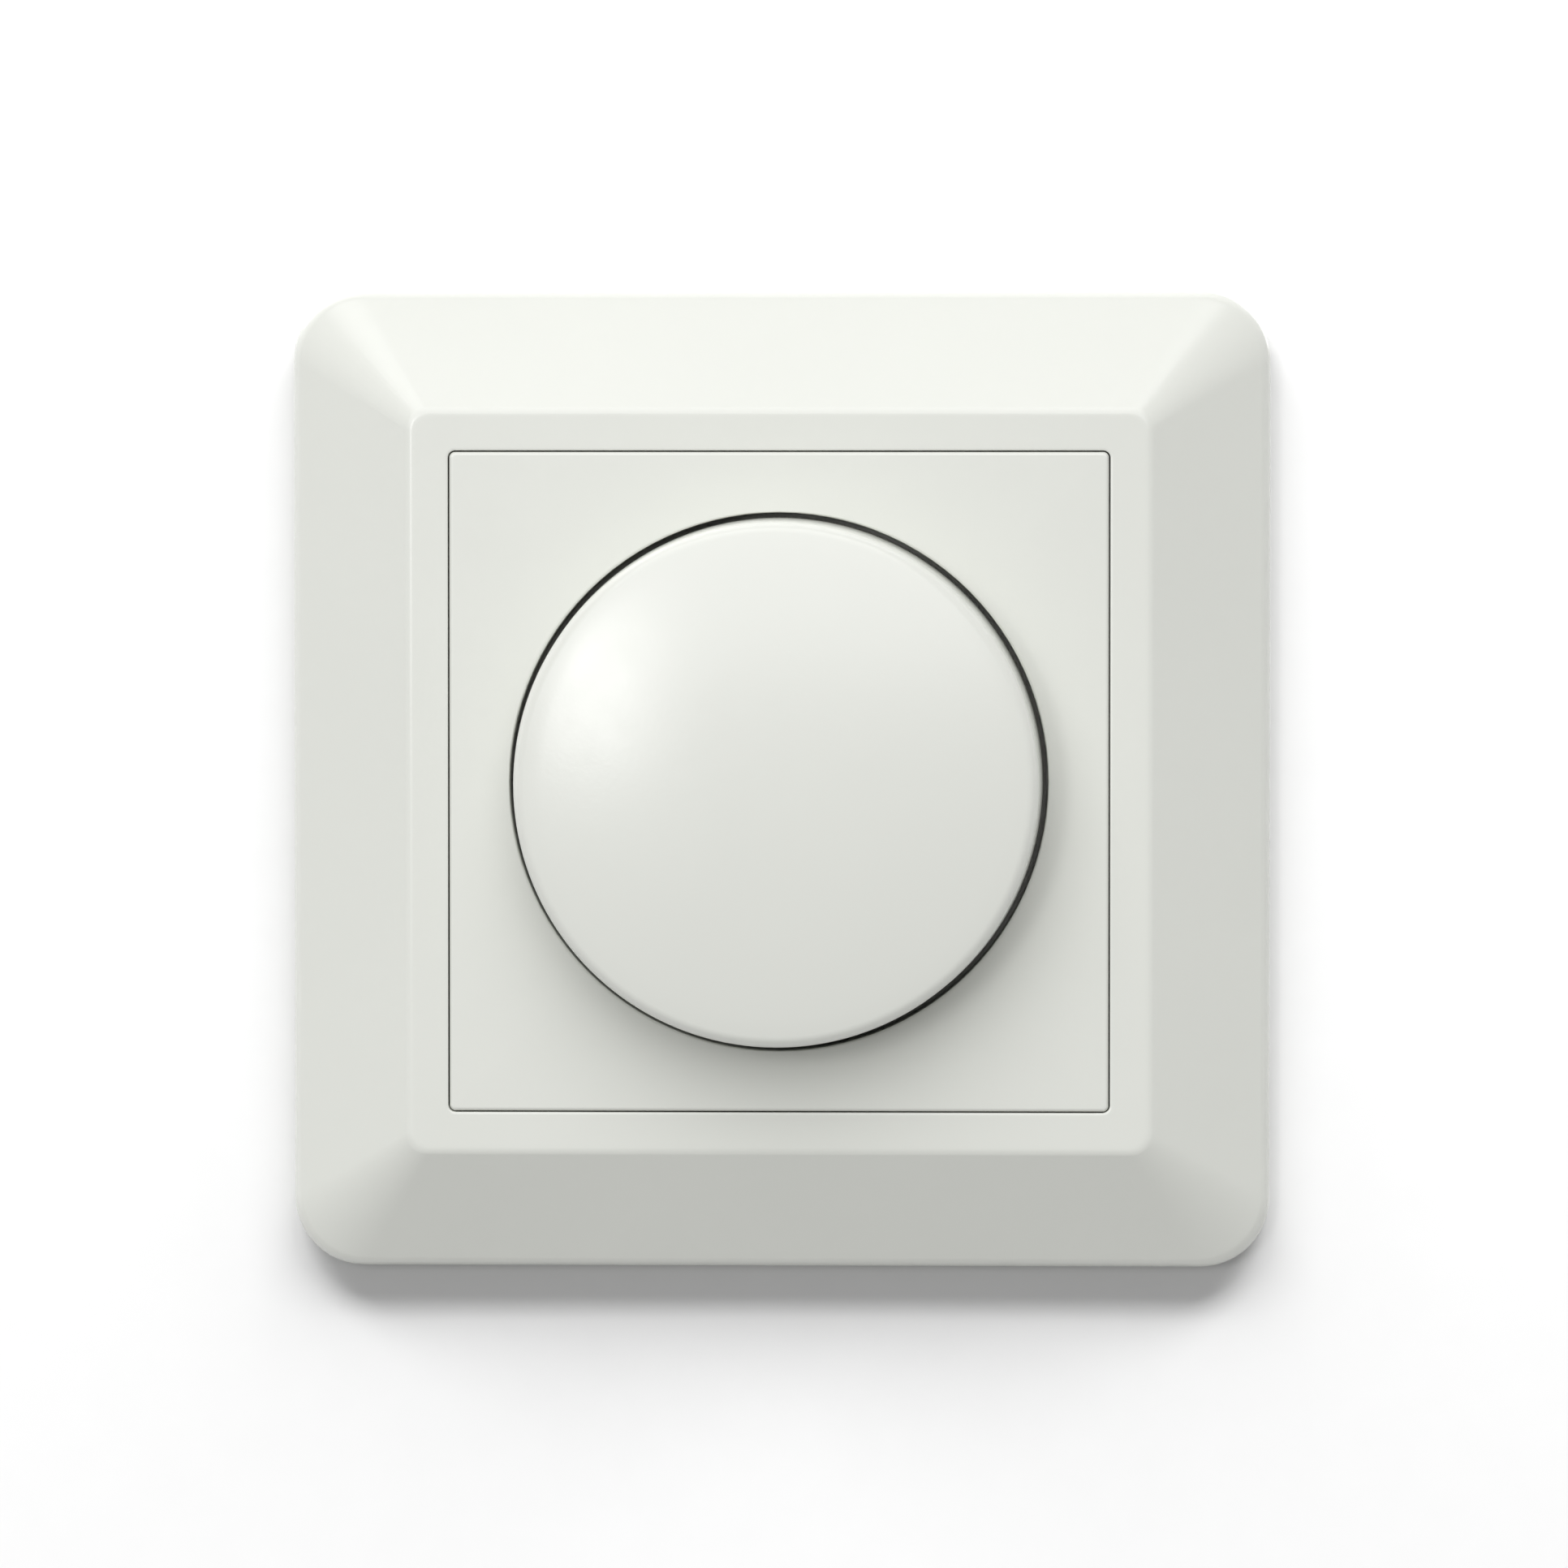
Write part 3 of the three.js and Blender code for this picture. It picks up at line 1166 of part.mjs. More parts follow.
addPiece("trimmer_base", trimmerBase(), diacBlue);
addPiece("trimmer_rotor", trimmerRotor(), ivoryPlastic);

// ---- Terminals ----

function terminalCage(x) {
  const half = TERMINAL_HALF_WIDTH;
  const roof = terminalFloor + TERMINAL_HEIGHT;
  const front = terminalBack + TERMINAL_LENGTH;
  const bore = TERMINAL_SCREW_RADIUS + SEAT_GAP;
  const left = x - CHAMBER_HALF_WIDTH;
  const right = x + CHAMBER_HALF_WIDTH;
  return cut(
    block(x - half, x + half, terminalFloor, roof, terminalBack, front),
    block(left, right, chamberFloor, chamberTop, terminalBack - OVERCUT, front + OVERCUT),
    barAlongY(bore, terminalFloor - OVERCUT, chamberFloor + OVERCUT, x, terminalMiddle),
  );
}

function terminalPlate(x) {
  const half = CHAMBER_HALF_WIDTH - SEAT_GAP;
  const reach = TERMINAL_LENGTH / 2 - CLAMP_INSET;
  const low = terminalMiddle - reach;
  return block(x - half, x + half, clampLow, clampTop, low, low + 2 * reach);
}

function terminalScrew(x) {
  const tip = clampLow - SEAT_GAP;
  const headTop = tip - TERMINAL_SCREW_SHANK;
  const headLow = headTop - TERMINAL_SCREW_HEAD;
  const slotHalf = SCREW_SLOT_WIDTH / 2;
  const reach = TERMINAL_SCREW_HEAD_RADIUS + SEAT_GAP;
  const low = terminalMiddle - slotHalf;
  const high = terminalMiddle + slotHalf;
  return cut(
    joined(
      barAlongY(TERMINAL_SCREW_RADIUS, headTop - OVERLAP, tip, x, terminalMiddle),
      barAlongY(TERMINAL_SCREW_HEAD_RADIUS, headLow, headTop, x, terminalMiddle, SCREW_SIDES),
    ),
    block(x - reach, x + reach, headLow - OVERCUT, headLow + SCREW_SLOT_DEPTH, low, high),
  );
}

for (let i = 0; i < TERMINAL_COUNT; i++) {
  const x = terminalX(i);
  addPiece(`terminal_cage_${i + 1}`, terminalCage(x), brass);
  addPiece(`terminal_plate_${i + 1}`, terminalPlate(x), brass);
  addPiece(`terminal_screw_${i + 1}`, terminalScrew(x), brightSteel);
}

// ---- Stand the assembly upright ----

dimmer.rotation.x = Math.PI / 2;

export default dimmer;
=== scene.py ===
# A rotary push dimmer on a wall: a cover frame, a centre plate and a large knob in front, and behind them
# the mechanism that the wall box hides. Pieces are modelled in millimetres, and each is brought to metres
# as it is completed. X is to the right, Z is up the wall, and -Y is out of the wall.

import math

import bmesh
import bpy
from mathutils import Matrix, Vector


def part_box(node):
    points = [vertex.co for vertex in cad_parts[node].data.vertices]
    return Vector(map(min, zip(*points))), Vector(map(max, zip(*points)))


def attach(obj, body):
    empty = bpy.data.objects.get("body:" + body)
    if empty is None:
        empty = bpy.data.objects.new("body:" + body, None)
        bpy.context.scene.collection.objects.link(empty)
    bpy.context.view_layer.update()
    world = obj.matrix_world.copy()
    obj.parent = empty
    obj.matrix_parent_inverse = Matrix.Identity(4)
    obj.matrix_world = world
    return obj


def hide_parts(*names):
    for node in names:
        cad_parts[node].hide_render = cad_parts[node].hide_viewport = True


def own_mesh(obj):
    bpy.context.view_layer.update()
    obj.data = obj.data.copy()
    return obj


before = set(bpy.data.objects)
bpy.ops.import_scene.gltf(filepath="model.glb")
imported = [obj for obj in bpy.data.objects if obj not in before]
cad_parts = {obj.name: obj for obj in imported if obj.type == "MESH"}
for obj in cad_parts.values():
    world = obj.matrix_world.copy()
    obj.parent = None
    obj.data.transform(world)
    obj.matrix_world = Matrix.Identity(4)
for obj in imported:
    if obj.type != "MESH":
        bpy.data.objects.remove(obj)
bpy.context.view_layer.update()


# ---- Wall, light and camera ----
# The dimmer hangs on a plain white wall. A large soft light stands high in front and a little to the left,
# and a small one at the left gives the knob its highlight. Two more light the wall alone, from higher up, so
# that the frame's shadow falls below it, and two weak ones light what lies behind the wall.

MM = 0.001
WALL_WIDTH = 3.0
WALL_CLEARANCE = 0.00005
PAINT_ROUGHNESS = 0.9
PAINT_TONES = (0.72, 0.74)
ROOM_BRIGHTNESS = 0.35
CAMERA_DISTANCE = 0.9
CAMERA_RIGHT = 1.8
CAMERA_ABOVE = 2.0
LENS = 246
SENSOR_WIDTH = 36
AIM = Vector((0.00022, -0.003, -0.00042))


def toward(right, above, distance):
    """The point at a distance from the dimmer's middle, by its angles to the right and above."""
    right = math.radians(right)
    above = math.radians(above)
    across = math.cos(above) * distance
    return Vector((math.sin(right) * across, -math.cos(right) * across, math.sin(above) * distance))


def face_towards(thing, target):
    """Turns a camera or a light so that it looks at a point."""
    thing.rotation_euler = (target - thing.location).to_track_quat("-Z", "Y").to_euler()


def soft_light(name, place, width, height, watts):
    """A rectangular soft light that looks at the dimmer."""
    lamp = bpy.data.lights.new(name, "AREA")
    lamp.shape = "RECTANGLE"
    lamp.size = width
    lamp.size_y = height
    lamp.energy = watts
    holder = bpy.data.objects.new(name, lamp)
    bpy.context.scene.collection.objects.link(holder)
    holder.location = place
    face_towards(holder, Vector((0, 0, 0)))
    return holder


window_light = soft_light("window_light", toward(-8, 37, 2.0), width=2.2, height=2.3, watts=39.0)
soft_light("highlight_light", toward(-17, 6, 0.9), width=0.12, height=0.2, watts=0.8)
rear_lights = [
    soft_light("rear_light_left", toward(150, 25, 1.0), width=0.6, height=0.6, watts=3.0),
    soft_light("rear_light_right", toward(-140, 40, 1.0), width=0.6, height=0.6, watts=4.0),
]

camera_lens = bpy.data.cameras.new("camera")
camera_lens.lens = LENS
camera_lens.sensor_width = SENSOR_WIDTH
camera_lens.clip_start = 0.05
camera_lens.clip_end = 20
camera = bpy.data.objects.new("camera", camera_lens)
bpy.context.scene.collection.objects.link(camera)
camera.location = toward(CAMERA_RIGHT, CAMERA_ABOVE, CAMERA_DISTANCE) + AIM
face_towards(camera, AIM)
bpy.context.scene.camera = camera

sky = bpy.data.worlds.new("pale_room")
sky.use_nodes = True
daylight = sky.node_tree.nodes["Background"]
daylight.inputs["Color"].default_value = (1, 1, 1, 1)
daylight.inputs["Strength"].default_value = ROOM_BRIGHTNESS
bpy.context.scene.world = sky
bpy.context.scene.view_settings.view_transform = "Standard"
bpy.context.scene.view_settings.look = "None"


def add_node(tree, kind, values=None, **settings):
    """A shader node with its settings and the values of its unlinked inputs."""
    made = tree.nodes.new(kind)
    for key, value in settings.items():
        setattr(made, key, value)
    for key, value in (values or {}).items():
        made.inputs[key].default_value = value
    return made


def wall_paint():
    """Matt white paint, seen only from the room's side, so that the back of the dimmer can be looked at."""
    paint = bpy.data.materials.new("wall_paint")
    paint.use_nodes = True
    tree = paint.node_tree
    shader = tree.nodes["Principled BSDF"]
    shader.inputs["Roughness"].default_value = PAINT_ROUGHNESS
    shader.inputs["Specular IOR Level"].default_value = 0.1
    place = add_node(tree, "ShaderNodeTexCoord")
    roller = add_node(tree, "ShaderNodeTexNoise", {"Scale": 240, "Detail": 3, "Roughness": 0.5})
    tint = add_node(tree, "ShaderNodeMix", data_type="RGBA")
    for tone, end in zip(PAINT_TONES, "AB"):
        tint.inputs[end].default_value = (tone, tone, tone, 1)
    side = add_node(tree, "ShaderNodeNewGeometry")
    clear = add_node(tree, "ShaderNodeBsdfTransparent")
    either = add_node(tree, "ShaderNodeMixShader")
    tree.links.new(place.outputs["Object"], roller.inputs["Vector"])
    tree.links.new(roller.outputs["Fac"], tint.inputs["Factor"])
    tree.links.new(tint.outputs["Result"], shader.inputs["Base Color"])
    tree.links.new(side.outputs["Backfacing"], either.inputs["Fac"])
    tree.links.new(shader.outputs["BSDF"], either.inputs[1])
    tree.links.new(clear.outputs["BSDF"], either.inputs[2])
    tree.links.new(either.outputs["Shader"], tree.nodes["Material Output"].inputs["Surface"])
    return paint


bpy.ops.object.select_all(action="DESELECT")
bpy.ops.mesh.primitive_plane_add(
    size=WALL_WIDTH, location=(0, WALL_CLEARANCE, 0), rotation=(math.pi / 2, 0, 0),
)
wall = bpy.context.object
wall.name = "wall"
bpy.ops.object.transform_apply(location=True, rotation=True, scale=True)
wall.data.materials.append(wall_paint())
only_wall = bpy.data.collections.new("only_wall")
not_the_wall = bpy.data.collections.new("not_the_wall")
for group in (only_wall, not_the_wall):
    group.objects.link(wall)
not_the_wall.collection_objects[0].light_linking.link_state = "EXCLUDE"
window_light.light_linking.receiver_collection = not_the_wall
for rear_light in rear_lights:
    rear_light.light_linking.blocker_collection = not_the_wall
for name, side in (("wall_light_left", -1), ("wall_light_right", 1)):
    wall_light = soft_light(name, toward(side * 34, 51, 1.6), width=1.2, height=0.5, watts=26.5)
    wall_light.light_linking.receiver_collection = only_wall


# ---- Cover frame ----
# The bevelled square frame is one white moulding with a short skirt, a flat rim and a ledge that the
# centre plate stands on. It is pressed against the wall by the centre plate.

CORNER_STEPS = 12
NEAR = 0.02
FRAME_OUTER_CORNER = 5.8
SHOULDER_HEIGHT = 3.3
SHOULDER_ROUNDING = 1.0
FRAME_BEVEL = 10.05
FRAME_RIDGE_CORNER = 1.7
RIDGE_ROUNDING = 0.35
RIM_MARGIN = 0.6
FRAME_RIM = 3.35
WINDOW_CORNER = 0.6
WINDOW_MARGIN = 0.25
WINDOW_ROUNDING = 0.12
FRAME_LEDGE = 1.85
LEDGE_CORNER = 0.5
FRAME_LEDGE_TOP = 6.0
FRAME_LEDGE_UNDER = 4.5
FRAME_COLLAR = 1.6
COLLAR_CORNER = 2.1
FRAME_WALL = 2.0
INNER_CORNER = 3.8
INNER_SLOPE = 1.1
INNER_SHOULDER = 2.2
SHARP_ANGLE = 30
WHITE = (0.74, 0.751, 0.705)
WHITE_ROUGHNESS = 0.22


def extent(node):
    """A frame node's left, right, bottom and top, and its lowest and highest point off the wall, in mm."""
    low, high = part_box(node)
    return low.x / MM, high.x / MM, low.z / MM, high.z / MM, -high.y / MM, -low.y / MM


def centre_of(node):
    """The place on the wall, in mm, that a frame node is round."""
    left, right, bottom, top, _, _ = extent(node)
    return (left + right) / 2, (bottom + top) / 2


def begin(add, **place):
    """Adds a primitive as a new piece, in millimetres, and opens it for editing."""
    bpy.ops.object.select_all(action="DESELECT")
    add(**place)
    bpy.ops.object.transform_apply(location=True, rotation=True, scale=True)
    bpy.ops.object.mode_set(mode="EDIT")


def begin_bare():
    """Opens a new piece that has nothing in it yet."""
    begin(bpy.ops.mesh.primitive_plane_add, size=1)
    bpy.ops.mesh.delete(type="VERT")


def pick(wanted):
    """Selects, in the piece being edited, what lies wholly on points whose place is wanted."""
    mesh = bmesh.from_edit_mesh(bpy.context.object.data)
    mesh.select_mode = {"VERT"}
    for point in mesh.verts:
        point.select = wanted(point.co)
    mesh.select_flush_mode()
    bmesh.update_edit_mesh(bpy.context.object.data)


def pick_numbers(drawn, across=0, up=0):
    """Selects the points with the given numbers, or only those in one quarter of the wall."""
    mesh = bmesh.from_edit_mesh(bpy.context.object.data)
    for point in mesh.verts:
        in_quarter = point.co.x * across >= 0 and point.co.z * up >= 0
        point.select = point.index in drawn and in_quarter
    mesh.select_flush_mode()
    bmesh.update_edit_mesh(bpy.context.object.data)


def picked_points():
    """The numbers of the points that are selected."""
    mesh = bmesh.from_edit_mesh(bpy.context.object.data)
    return {point.index for point in mesh.verts if point.select}


def square_outline(outline):
    """Draws a rounded square piece's outline, each (half width, corner, height) a ring further: the last
    ring is drawn out, then each of its corners is moved, and sized about the middle of its arc."""
    half, corner, height = outline[0]
    bpy.ops.mesh.primitive_plane_add(size=2 * half, location=(0, -height, 0), rotation=(math.pi / 2, 0, 0))
    bpy.ops.mesh.bevel(offset=corner, segments=CORNER_STEPS, affect="VERTICES")
    bpy.ops.mesh.delete(type="ONLY_FACE")
    pick(on_square(half, corner, height))
    for next_half, next_corner, next_height in outline[1:]:
        bpy.ops.mesh.extrude_edges_move(TRANSFORM_OT_translate={"value": (0, height - next_height, 0)})
        drawn = picked_points()
        middle = next_half - next_corner
        shift = middle - half + corner
        for across in (-1, 1):
            for up in (-1, 1):
                pick_numbers(drawn, across, up)
                bpy.ops.transform.translate(value=(across * shift, 0, up * shift))
                bpy.ops.transform.resize(
                    value=(next_corner / corner, 1, next_corner / corner),
                    center_override=(across * middle, -next_height, up * middle),
                )
        pick_numbers(drawn)
        half, corner, height = next_half, next_corner, next_height


def on_square(half, corner, height):
    """Tells whether a point lies on such an outline."""
    def test(point):
        across = max(abs(point.x) - half + corner, 0)
        along = max(abs(point.z) - half + corner, 0)
        return abs(point.y + height) < NEAR and abs(math.hypot(across, along) - corner) < NEAR
    return test


def fill_between(first, second):
    """Closes the flat face between an outer outline and an inner one."""
    pick(lambda point: first(point) or second(point))
    bpy.ops.mesh.fill()


def round_off(edge, width, steps):
    """Rounds the edge that lies on an outline."""
    pick(edge)
    bpy.ops.mesh.bevel(offset=width, segments=steps, affect="EDGES")


def merge_seams():
    """Merges the points that fall on one another."""
    bpy.ops.mesh.select_all(action="SELECT")
    bpy.ops.mesh.remove_doubles(threshold=0.001)


def complete(name, smooth=SHARP_ANGLE, place=(0, 0, 0)):
    """Closes a piece's modelling: seams merged, faces out, put in its place in millimetres, brought to
    metres, and its edges smoothed by angle."""
    merge_seams()
    bpy.ops.mesh.normals_make_consistent(inside=False)
    bpy.ops.object.mode_set(mode="OBJECT")
    piece = bpy.context.object
    piece.name = name
    piece.data.name = name
    piece.location = [MM * distance for distance in place]
    piece.scale = (MM, MM, MM)
    bpy.ops.object.transform_apply(location=True, rotation=True, scale=True)
    bpy.ops.object.shade_smooth_by_angle(angle=math.radians(smooth))
    return piece


def even_shading(piece):
    """Keeps a broad flat face flat right up to its rounded edges."""
    modifier = piece.modifiers.new("even_shading", "WEIGHTED_NORMAL")
    modifier.keep_sharp = True
    bpy.ops.object.modifier_apply(modifier=modifier.name)


def fit(piece, finish, body, node):
    """Gives a piece its finish, the body that it moves with, and the frame node that it stands in for."""
    piece.data.materials.append(finish)
    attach(piece, body)
    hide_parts(node)


def effect_group(name, inputs, outputs):
    """An empty node group with named values going in and coming out, and its two end nodes."""
    group = bpy.data.node_groups.new(name, "ShaderNodeTree")
    for label, default in inputs.items():
        socket = group.interface.new_socket(name=label, in_out="INPUT", socket_type="NodeSocketFloat")
        socket.default_value = default
    for label in outputs:
        group.interface.new_socket(name=label, in_out="OUTPUT", socket_type="NodeSocketFloat")
    return group, add_node(group, "NodeGroupInput"), add_node(group, "NodeGroupOutput")


def place_group(tree, group, **values):
    """An effect group placed in a material with its own values."""
    placed = add_node(tree, "ShaderNodeGroup", node_tree=group)
    for label, value in values.items():
        placed.inputs[label.replace("_", " ").capitalize()].default_value = value
    return placed


def moulded_grain_group():
    """The faint orange-peel and drifting tone that a polished mould leaves on plastic."""
    group, given, result = effect_group(
        "moulded_grain", {"Peel": 2500.0, "Drift": 45.0}, ["Height", "Tone", "Gloss"],
    )
    place = add_node(group, "ShaderNodeTexCoord")
    peel = add_node(group, "ShaderNodeTexNoise", {"Detail": 4.0, "Roughness": 0.55})
    drift = add_node(group, "ShaderNodeTexNoise", {"Detail": 2.0, "Roughness": 0.5})
    gloss = add_node(group, "ShaderNodeTexNoise", {"Detail": 3.0, "Roughness": 0.6})
    finer = add_node(group, "ShaderNodeMath", {1: 8.0}, operation="MULTIPLY")
    group.links.new(given.outputs["Peel"], peel.inputs["Scale"])
    group.links.new(given.outputs["Drift"], drift.inputs["Scale"])
    group.links.new(given.outputs["Drift"], finer.inputs[0])
    group.links.new(finer.outputs["Value"], gloss.inputs["Scale"])
    for texture, output in ((peel, "Height"), (drift, "Tone"), (gloss, "Gloss")):
        group.links.new(place.outputs["Object"], texture.inputs["Vector"])
        group.links.new(texture.outputs["Fac"], result.inputs[output])
    return group


moulded_grain = moulded_grain_group()


def spread(tree, value, low, high):
    """Stretches a value from 0..1 to the range low..high."""
    ranged = add_node(tree, "ShaderNodeMapRange", {"To Min": low, "To Max": high})
    tree.links.new(value, ranged.inputs["Value"])
    return ranged.outputs["Result"]


def tinted(tree, value, first, second):
    """A colour that drifts from the first to the second with a value."""
    mixed = add_node(tree, "ShaderNodeMix", data_type="RGBA")
    mixed.inputs["A"].default_value = (*first, 1)
    mixed.inputs["B"].default_value = (*second, 1)
    tree.links.new(value, mixed.inputs["Factor"])
    return mixed.outputs["Result"]


def raised(tree, height, depth, strength=1.0):
    """A bump of a depth in metres that gives the surface its relief."""
    bump = add_node(tree, "ShaderNodeBump", {"Distance": depth, "Strength": strength})
    tree.links.new(height, bump.inputs["Height"])
    return bump.outputs["Normal"]


def new_finish(name):
    """A material with its node tree and its shader."""
    finish = bpy.data.materials.new(name)
    finish.use_nodes = True
    return finish, finish.node_tree, finish.node_tree.nodes["Principled BSDF"]


def moulded_plastic(name, colour, roughness, peel_depth=0.000004, drift=0.02):
    """Glossy to satin moulded plastic with its grain, a slow drift of tone and patches of other gloss."""
    finish, tree, shader = new_finish(name)
    grain = place_group(tree, moulded_grain)
    darker = [channel * (1 - drift) for channel in colour]
    lighter = [min(channel * (1 + drift), 1) for channel in colour]
    tree.links.new(tinted(tree, grain.outputs["Tone"], darker, lighter), shader.inputs["Base Color"])
    gloss = spread(tree, grain.outputs["Gloss"], roughness - 0.04, roughness + 0.04)
    tree.links.new(gloss, shader.inputs["Roughness"])
    tree.links.new(raised(tree, grain.outputs["Height"], peel_depth), shader.inputs["Normal"])
    shader.inputs["IOR"].default_value = 1.5
    return finish


white_moulding = moulded_plastic("white_moulding", WHITE, WHITE_ROUGHNESS)

frame_half, _, _, _, _, frame_front = (abs(edge) for edge in extent("cover_frame"))
ridge_half = frame_half - FRAME_BEVEL
window_half = ridge_half - FRAME_RIM
ledge_half = window_half - FRAME_LEDGE
collar_half = window_half + FRAME_COLLAR
under_rim = frame_front - FRAME_WALL
frame_outline = [
    (frame_half, FRAME_OUTER_CORNER, 0),
    (frame_half, FRAME_OUTER_CORNER, SHOULDER_HEIGHT),
    (ridge_half, FRAME_RIDGE_CORNER, frame_front),
    (ridge_half - RIM_MARGIN, FRAME_RIDGE_CORNER - RIM_MARGIN, frame_front),
    (window_half + WINDOW_MARGIN, WINDOW_CORNER + WINDOW_MARGIN, frame_front),
    (window_half, WINDOW_CORNER, frame_front),
    (window_half, WINDOW_CORNER, FRAME_LEDGE_TOP),
    (ledge_half, LEDGE_CORNER, FRAME_LEDGE_TOP),
    (ledge_half, LEDGE_CORNER, FRAME_LEDGE_UNDER),
    (collar_half, COLLAR_CORNER, FRAME_LEDGE_UNDER),
    (collar_half, COLLAR_CORNER, under_rim),
    (frame_half - FRAME_WALL - INNER_SLOPE, INNER_CORNER, INNER_SHOULDER),
    (frame_half - FRAME_WALL, INNER_CORNER, 0),
]
begin_bare()
square_outline(frame_outline + frame_outline[:1])
merge_seams()
round_off(on_square(*frame_outline[1]), SHOULDER_ROUNDING, 6)
round_off(on_square(*frame_outline[2]), RIDGE_ROUNDING, 4)
round_off(on_square(*frame_outline[5]), WINDOW_ROUNDING, 2)
cover = complete("frame_moulding")
even_shading(cover)
fit(cover, white_moulding, "root", "cover_frame")


# ---- Centre plate ----
# The square plate is moulded in the same white plastic, with the round well for the knob, a boss with the
# bush's hole, and a small hole for the trimmer. The nut on the bush clamps it, and with it the frame.

ROUND_STEPS = 104
PLATE_CORNER = 0.5
PLATE_EDGE = 0.3
PLATE_THICKNESS = 1.8
PLATE_SKIRT = 1.5
PLATE_CLEARANCE = 0.3
WELL_EDGE = 0.25
WELL_FOOT = 0.4
WELL_RADIUS = 22.45
WELL_WALL = 1.2
WELL_FLOOR_TOP = 4.9
WELL_FLOOR_UNDER = 3.4
BOSS_RADIUS = 8.0
BUSH_HOLE = 5.3
TRIMMER_HOLE = 2.1


def round_ring(radius, height, steps=ROUND_STEPS):
    """A circle round the dimmer's axis, flat at a height off the wall."""
    bpy.ops.mesh.primitive_circle_add(
        vertices=steps, radius=radius, location=(0, -height, 0), rotation=(math.pi / 2, 0, 0)
    )


def on_circle(radius, height):
    """Tells whether a point lies on such a circle."""
    def test(point):
        return abs(point.y + height) < NEAR and abs(math.hypot(point.x, point.z) - radius) < NEAR
    return test


def turn_outline(outline, steps):
    """Draws a round piece's outline from its first circle on, each (radius, height) a ring further."""
    radius, height = outline[0]
    round_ring(radius, height, steps)
    for next_radius, next_height in outline[1:]:
        bpy.ops.mesh.extrude_edges_move(TRANSFORM_OT_translate={"value": (0, height - next_height, 0)})
        scale = next_radius / radius
        bpy.ops.transform.resize(value=(scale, 1, scale), center_override=(0, -next_height, 0))
        radius, height = next_radius, next_height


def combine(piece, part, operation):
    """Changes the piece by the part's shape, and removes the part."""
    modifier = piece.modifiers.new("combine", "BOOLEAN")
    modifier.operation = operation
    modifier.solver = "EXACT"
    modifier.object = part
    bpy.context.view_layer.objects.active = piece
    bpy.ops.object.modifier_apply(modifier=modifier.name)
    bpy.data.objects.remove(part)


def carve(piece, cutter):
    """Takes the cutter's shape out of the piece."""
    combine(piece, cutter, "DIFFERENCE")


def round_cutter(radius, x, z, low, high, steps=48):
    """A drill through the heights low to high, at a place on the wall, in metres as finished pieces are."""
    bpy.ops.object.select_all(action="DESELECT")
    bpy.ops.mesh.primitive_cylinder_add(
        vertices=steps, radius=radius * MM, depth=(high - low) * MM,
        location=(x * MM, -(high + low) / 2 * MM, z * MM), rotation=(math.pi / 2, 0, 0),
    )
    return bpy.context.object


plate_half, _, _, _, plate_under, plate_front = (abs(edge) for edge in extent("centre_plate"))
plate_foot = FRAME_LEDGE_TOP + PLATE_CLEARANCE
trimmer_x, trimmer_z = centre_of("trimmer_rotor")
skirt_half = plate_half - PLATE_SKIRT
under_plate = plate_front - PLATE_THICKNESS
plate_squares = [
    (skirt_half, PLATE_CORNER, under_plate),
    (skirt_half, PLATE_CORNER, plate_foot),
    (plate_half, PLATE_CORNER, plate_foot),
]
for angle in (0, 30, 60, 90):
    drawn_in = PLATE_EDGE * (1 - math.cos(math.radians(angle)))
    lowered = PLATE_EDGE * (1 - math.sin(math.radians(angle)))
    plate_squares.append((plate_half - drawn_in, PLATE_CORNER - drawn_in, plate_front - lowered))
plate_circles = [
    (WELL_RADIUS, plate_front),
    (WELL_RADIUS, WELL_FLOOR_TOP),
    (BUSH_HOLE, WELL_FLOOR_TOP),
    (BUSH_HOLE, plate_under),
    (BOSS_RADIUS, plate_under),
    (BOSS_RADIUS, WELL_FLOOR_UNDER),
    (WELL_RADIUS + WELL_WALL, WELL_FLOOR_UNDER),
    (WELL_RADIUS + WELL_WALL, under_plate),
]
begin_bare()
square_outline(plate_squares)
turn_outline(plate_circles, ROUND_STEPS)
fill_between(on_square(*plate_squares[-1]), on_circle(*plate_circles[0]))
fill_between(on_square(*plate_squares[0]), on_circle(*plate_circles[-1]))
round_off(on_circle(*plate_circles[0]), WELL_EDGE, 3)
round_off(on_circle(*plate_circles[1]), WELL_FOOT, 3)
plate = complete("centre_moulding")
carve(plate, round_cutter(TRIMMER_HOLE, trimmer_x, trimmer_z, plate_under, WELL_FLOOR_TOP + 1))
even_shading(plate)
fit(plate, white_moulding, "root", "centre_plate")


# ---- Knob ----
# The large knob is a hollow white cap with a gently domed face. Ribs carry its hub, whose four slots let it
# spring over the shaft.

KNOB_STEPS = 160
KNOB_DRAFT = 0.3
KNOB_DOME = 1.7
DOME_STEPS = 14
KNOB_ROUNDING = 1.1
ROUNDING_STEPS = 8
KNOB_WALL = 1.8
KNOB_LIP = 0.2
KNOB_LIP_ROUNDING = 0.15
KNOB_SMOOTHING = 35
HUB_RADIUS = 5.0
HUB_BORE = 3.3
HUB_UNDER = 11.3
HUB_BORE_TOP = 17.9
HUB_SLOT = 1.0
HUB_SLOT_DEPTH = 4.0
SLOT_OVERCUT = 0.3
RIB_COUNT = 6
RIB_THICKNESS = 1.2
RIB_DEPTH = 2.0
RIB_SINK = 0.25
OVERCUT = 1.0


def close_centre():
    """Closes the ring that was drawn last with a fan of faces to its middle."""
    bpy.ops.mesh.extrude_edges_move(TRANSFORM_OT_translate={"value": (0, 0, 0)})
    bpy.ops.mesh.merge(type="CENTER")


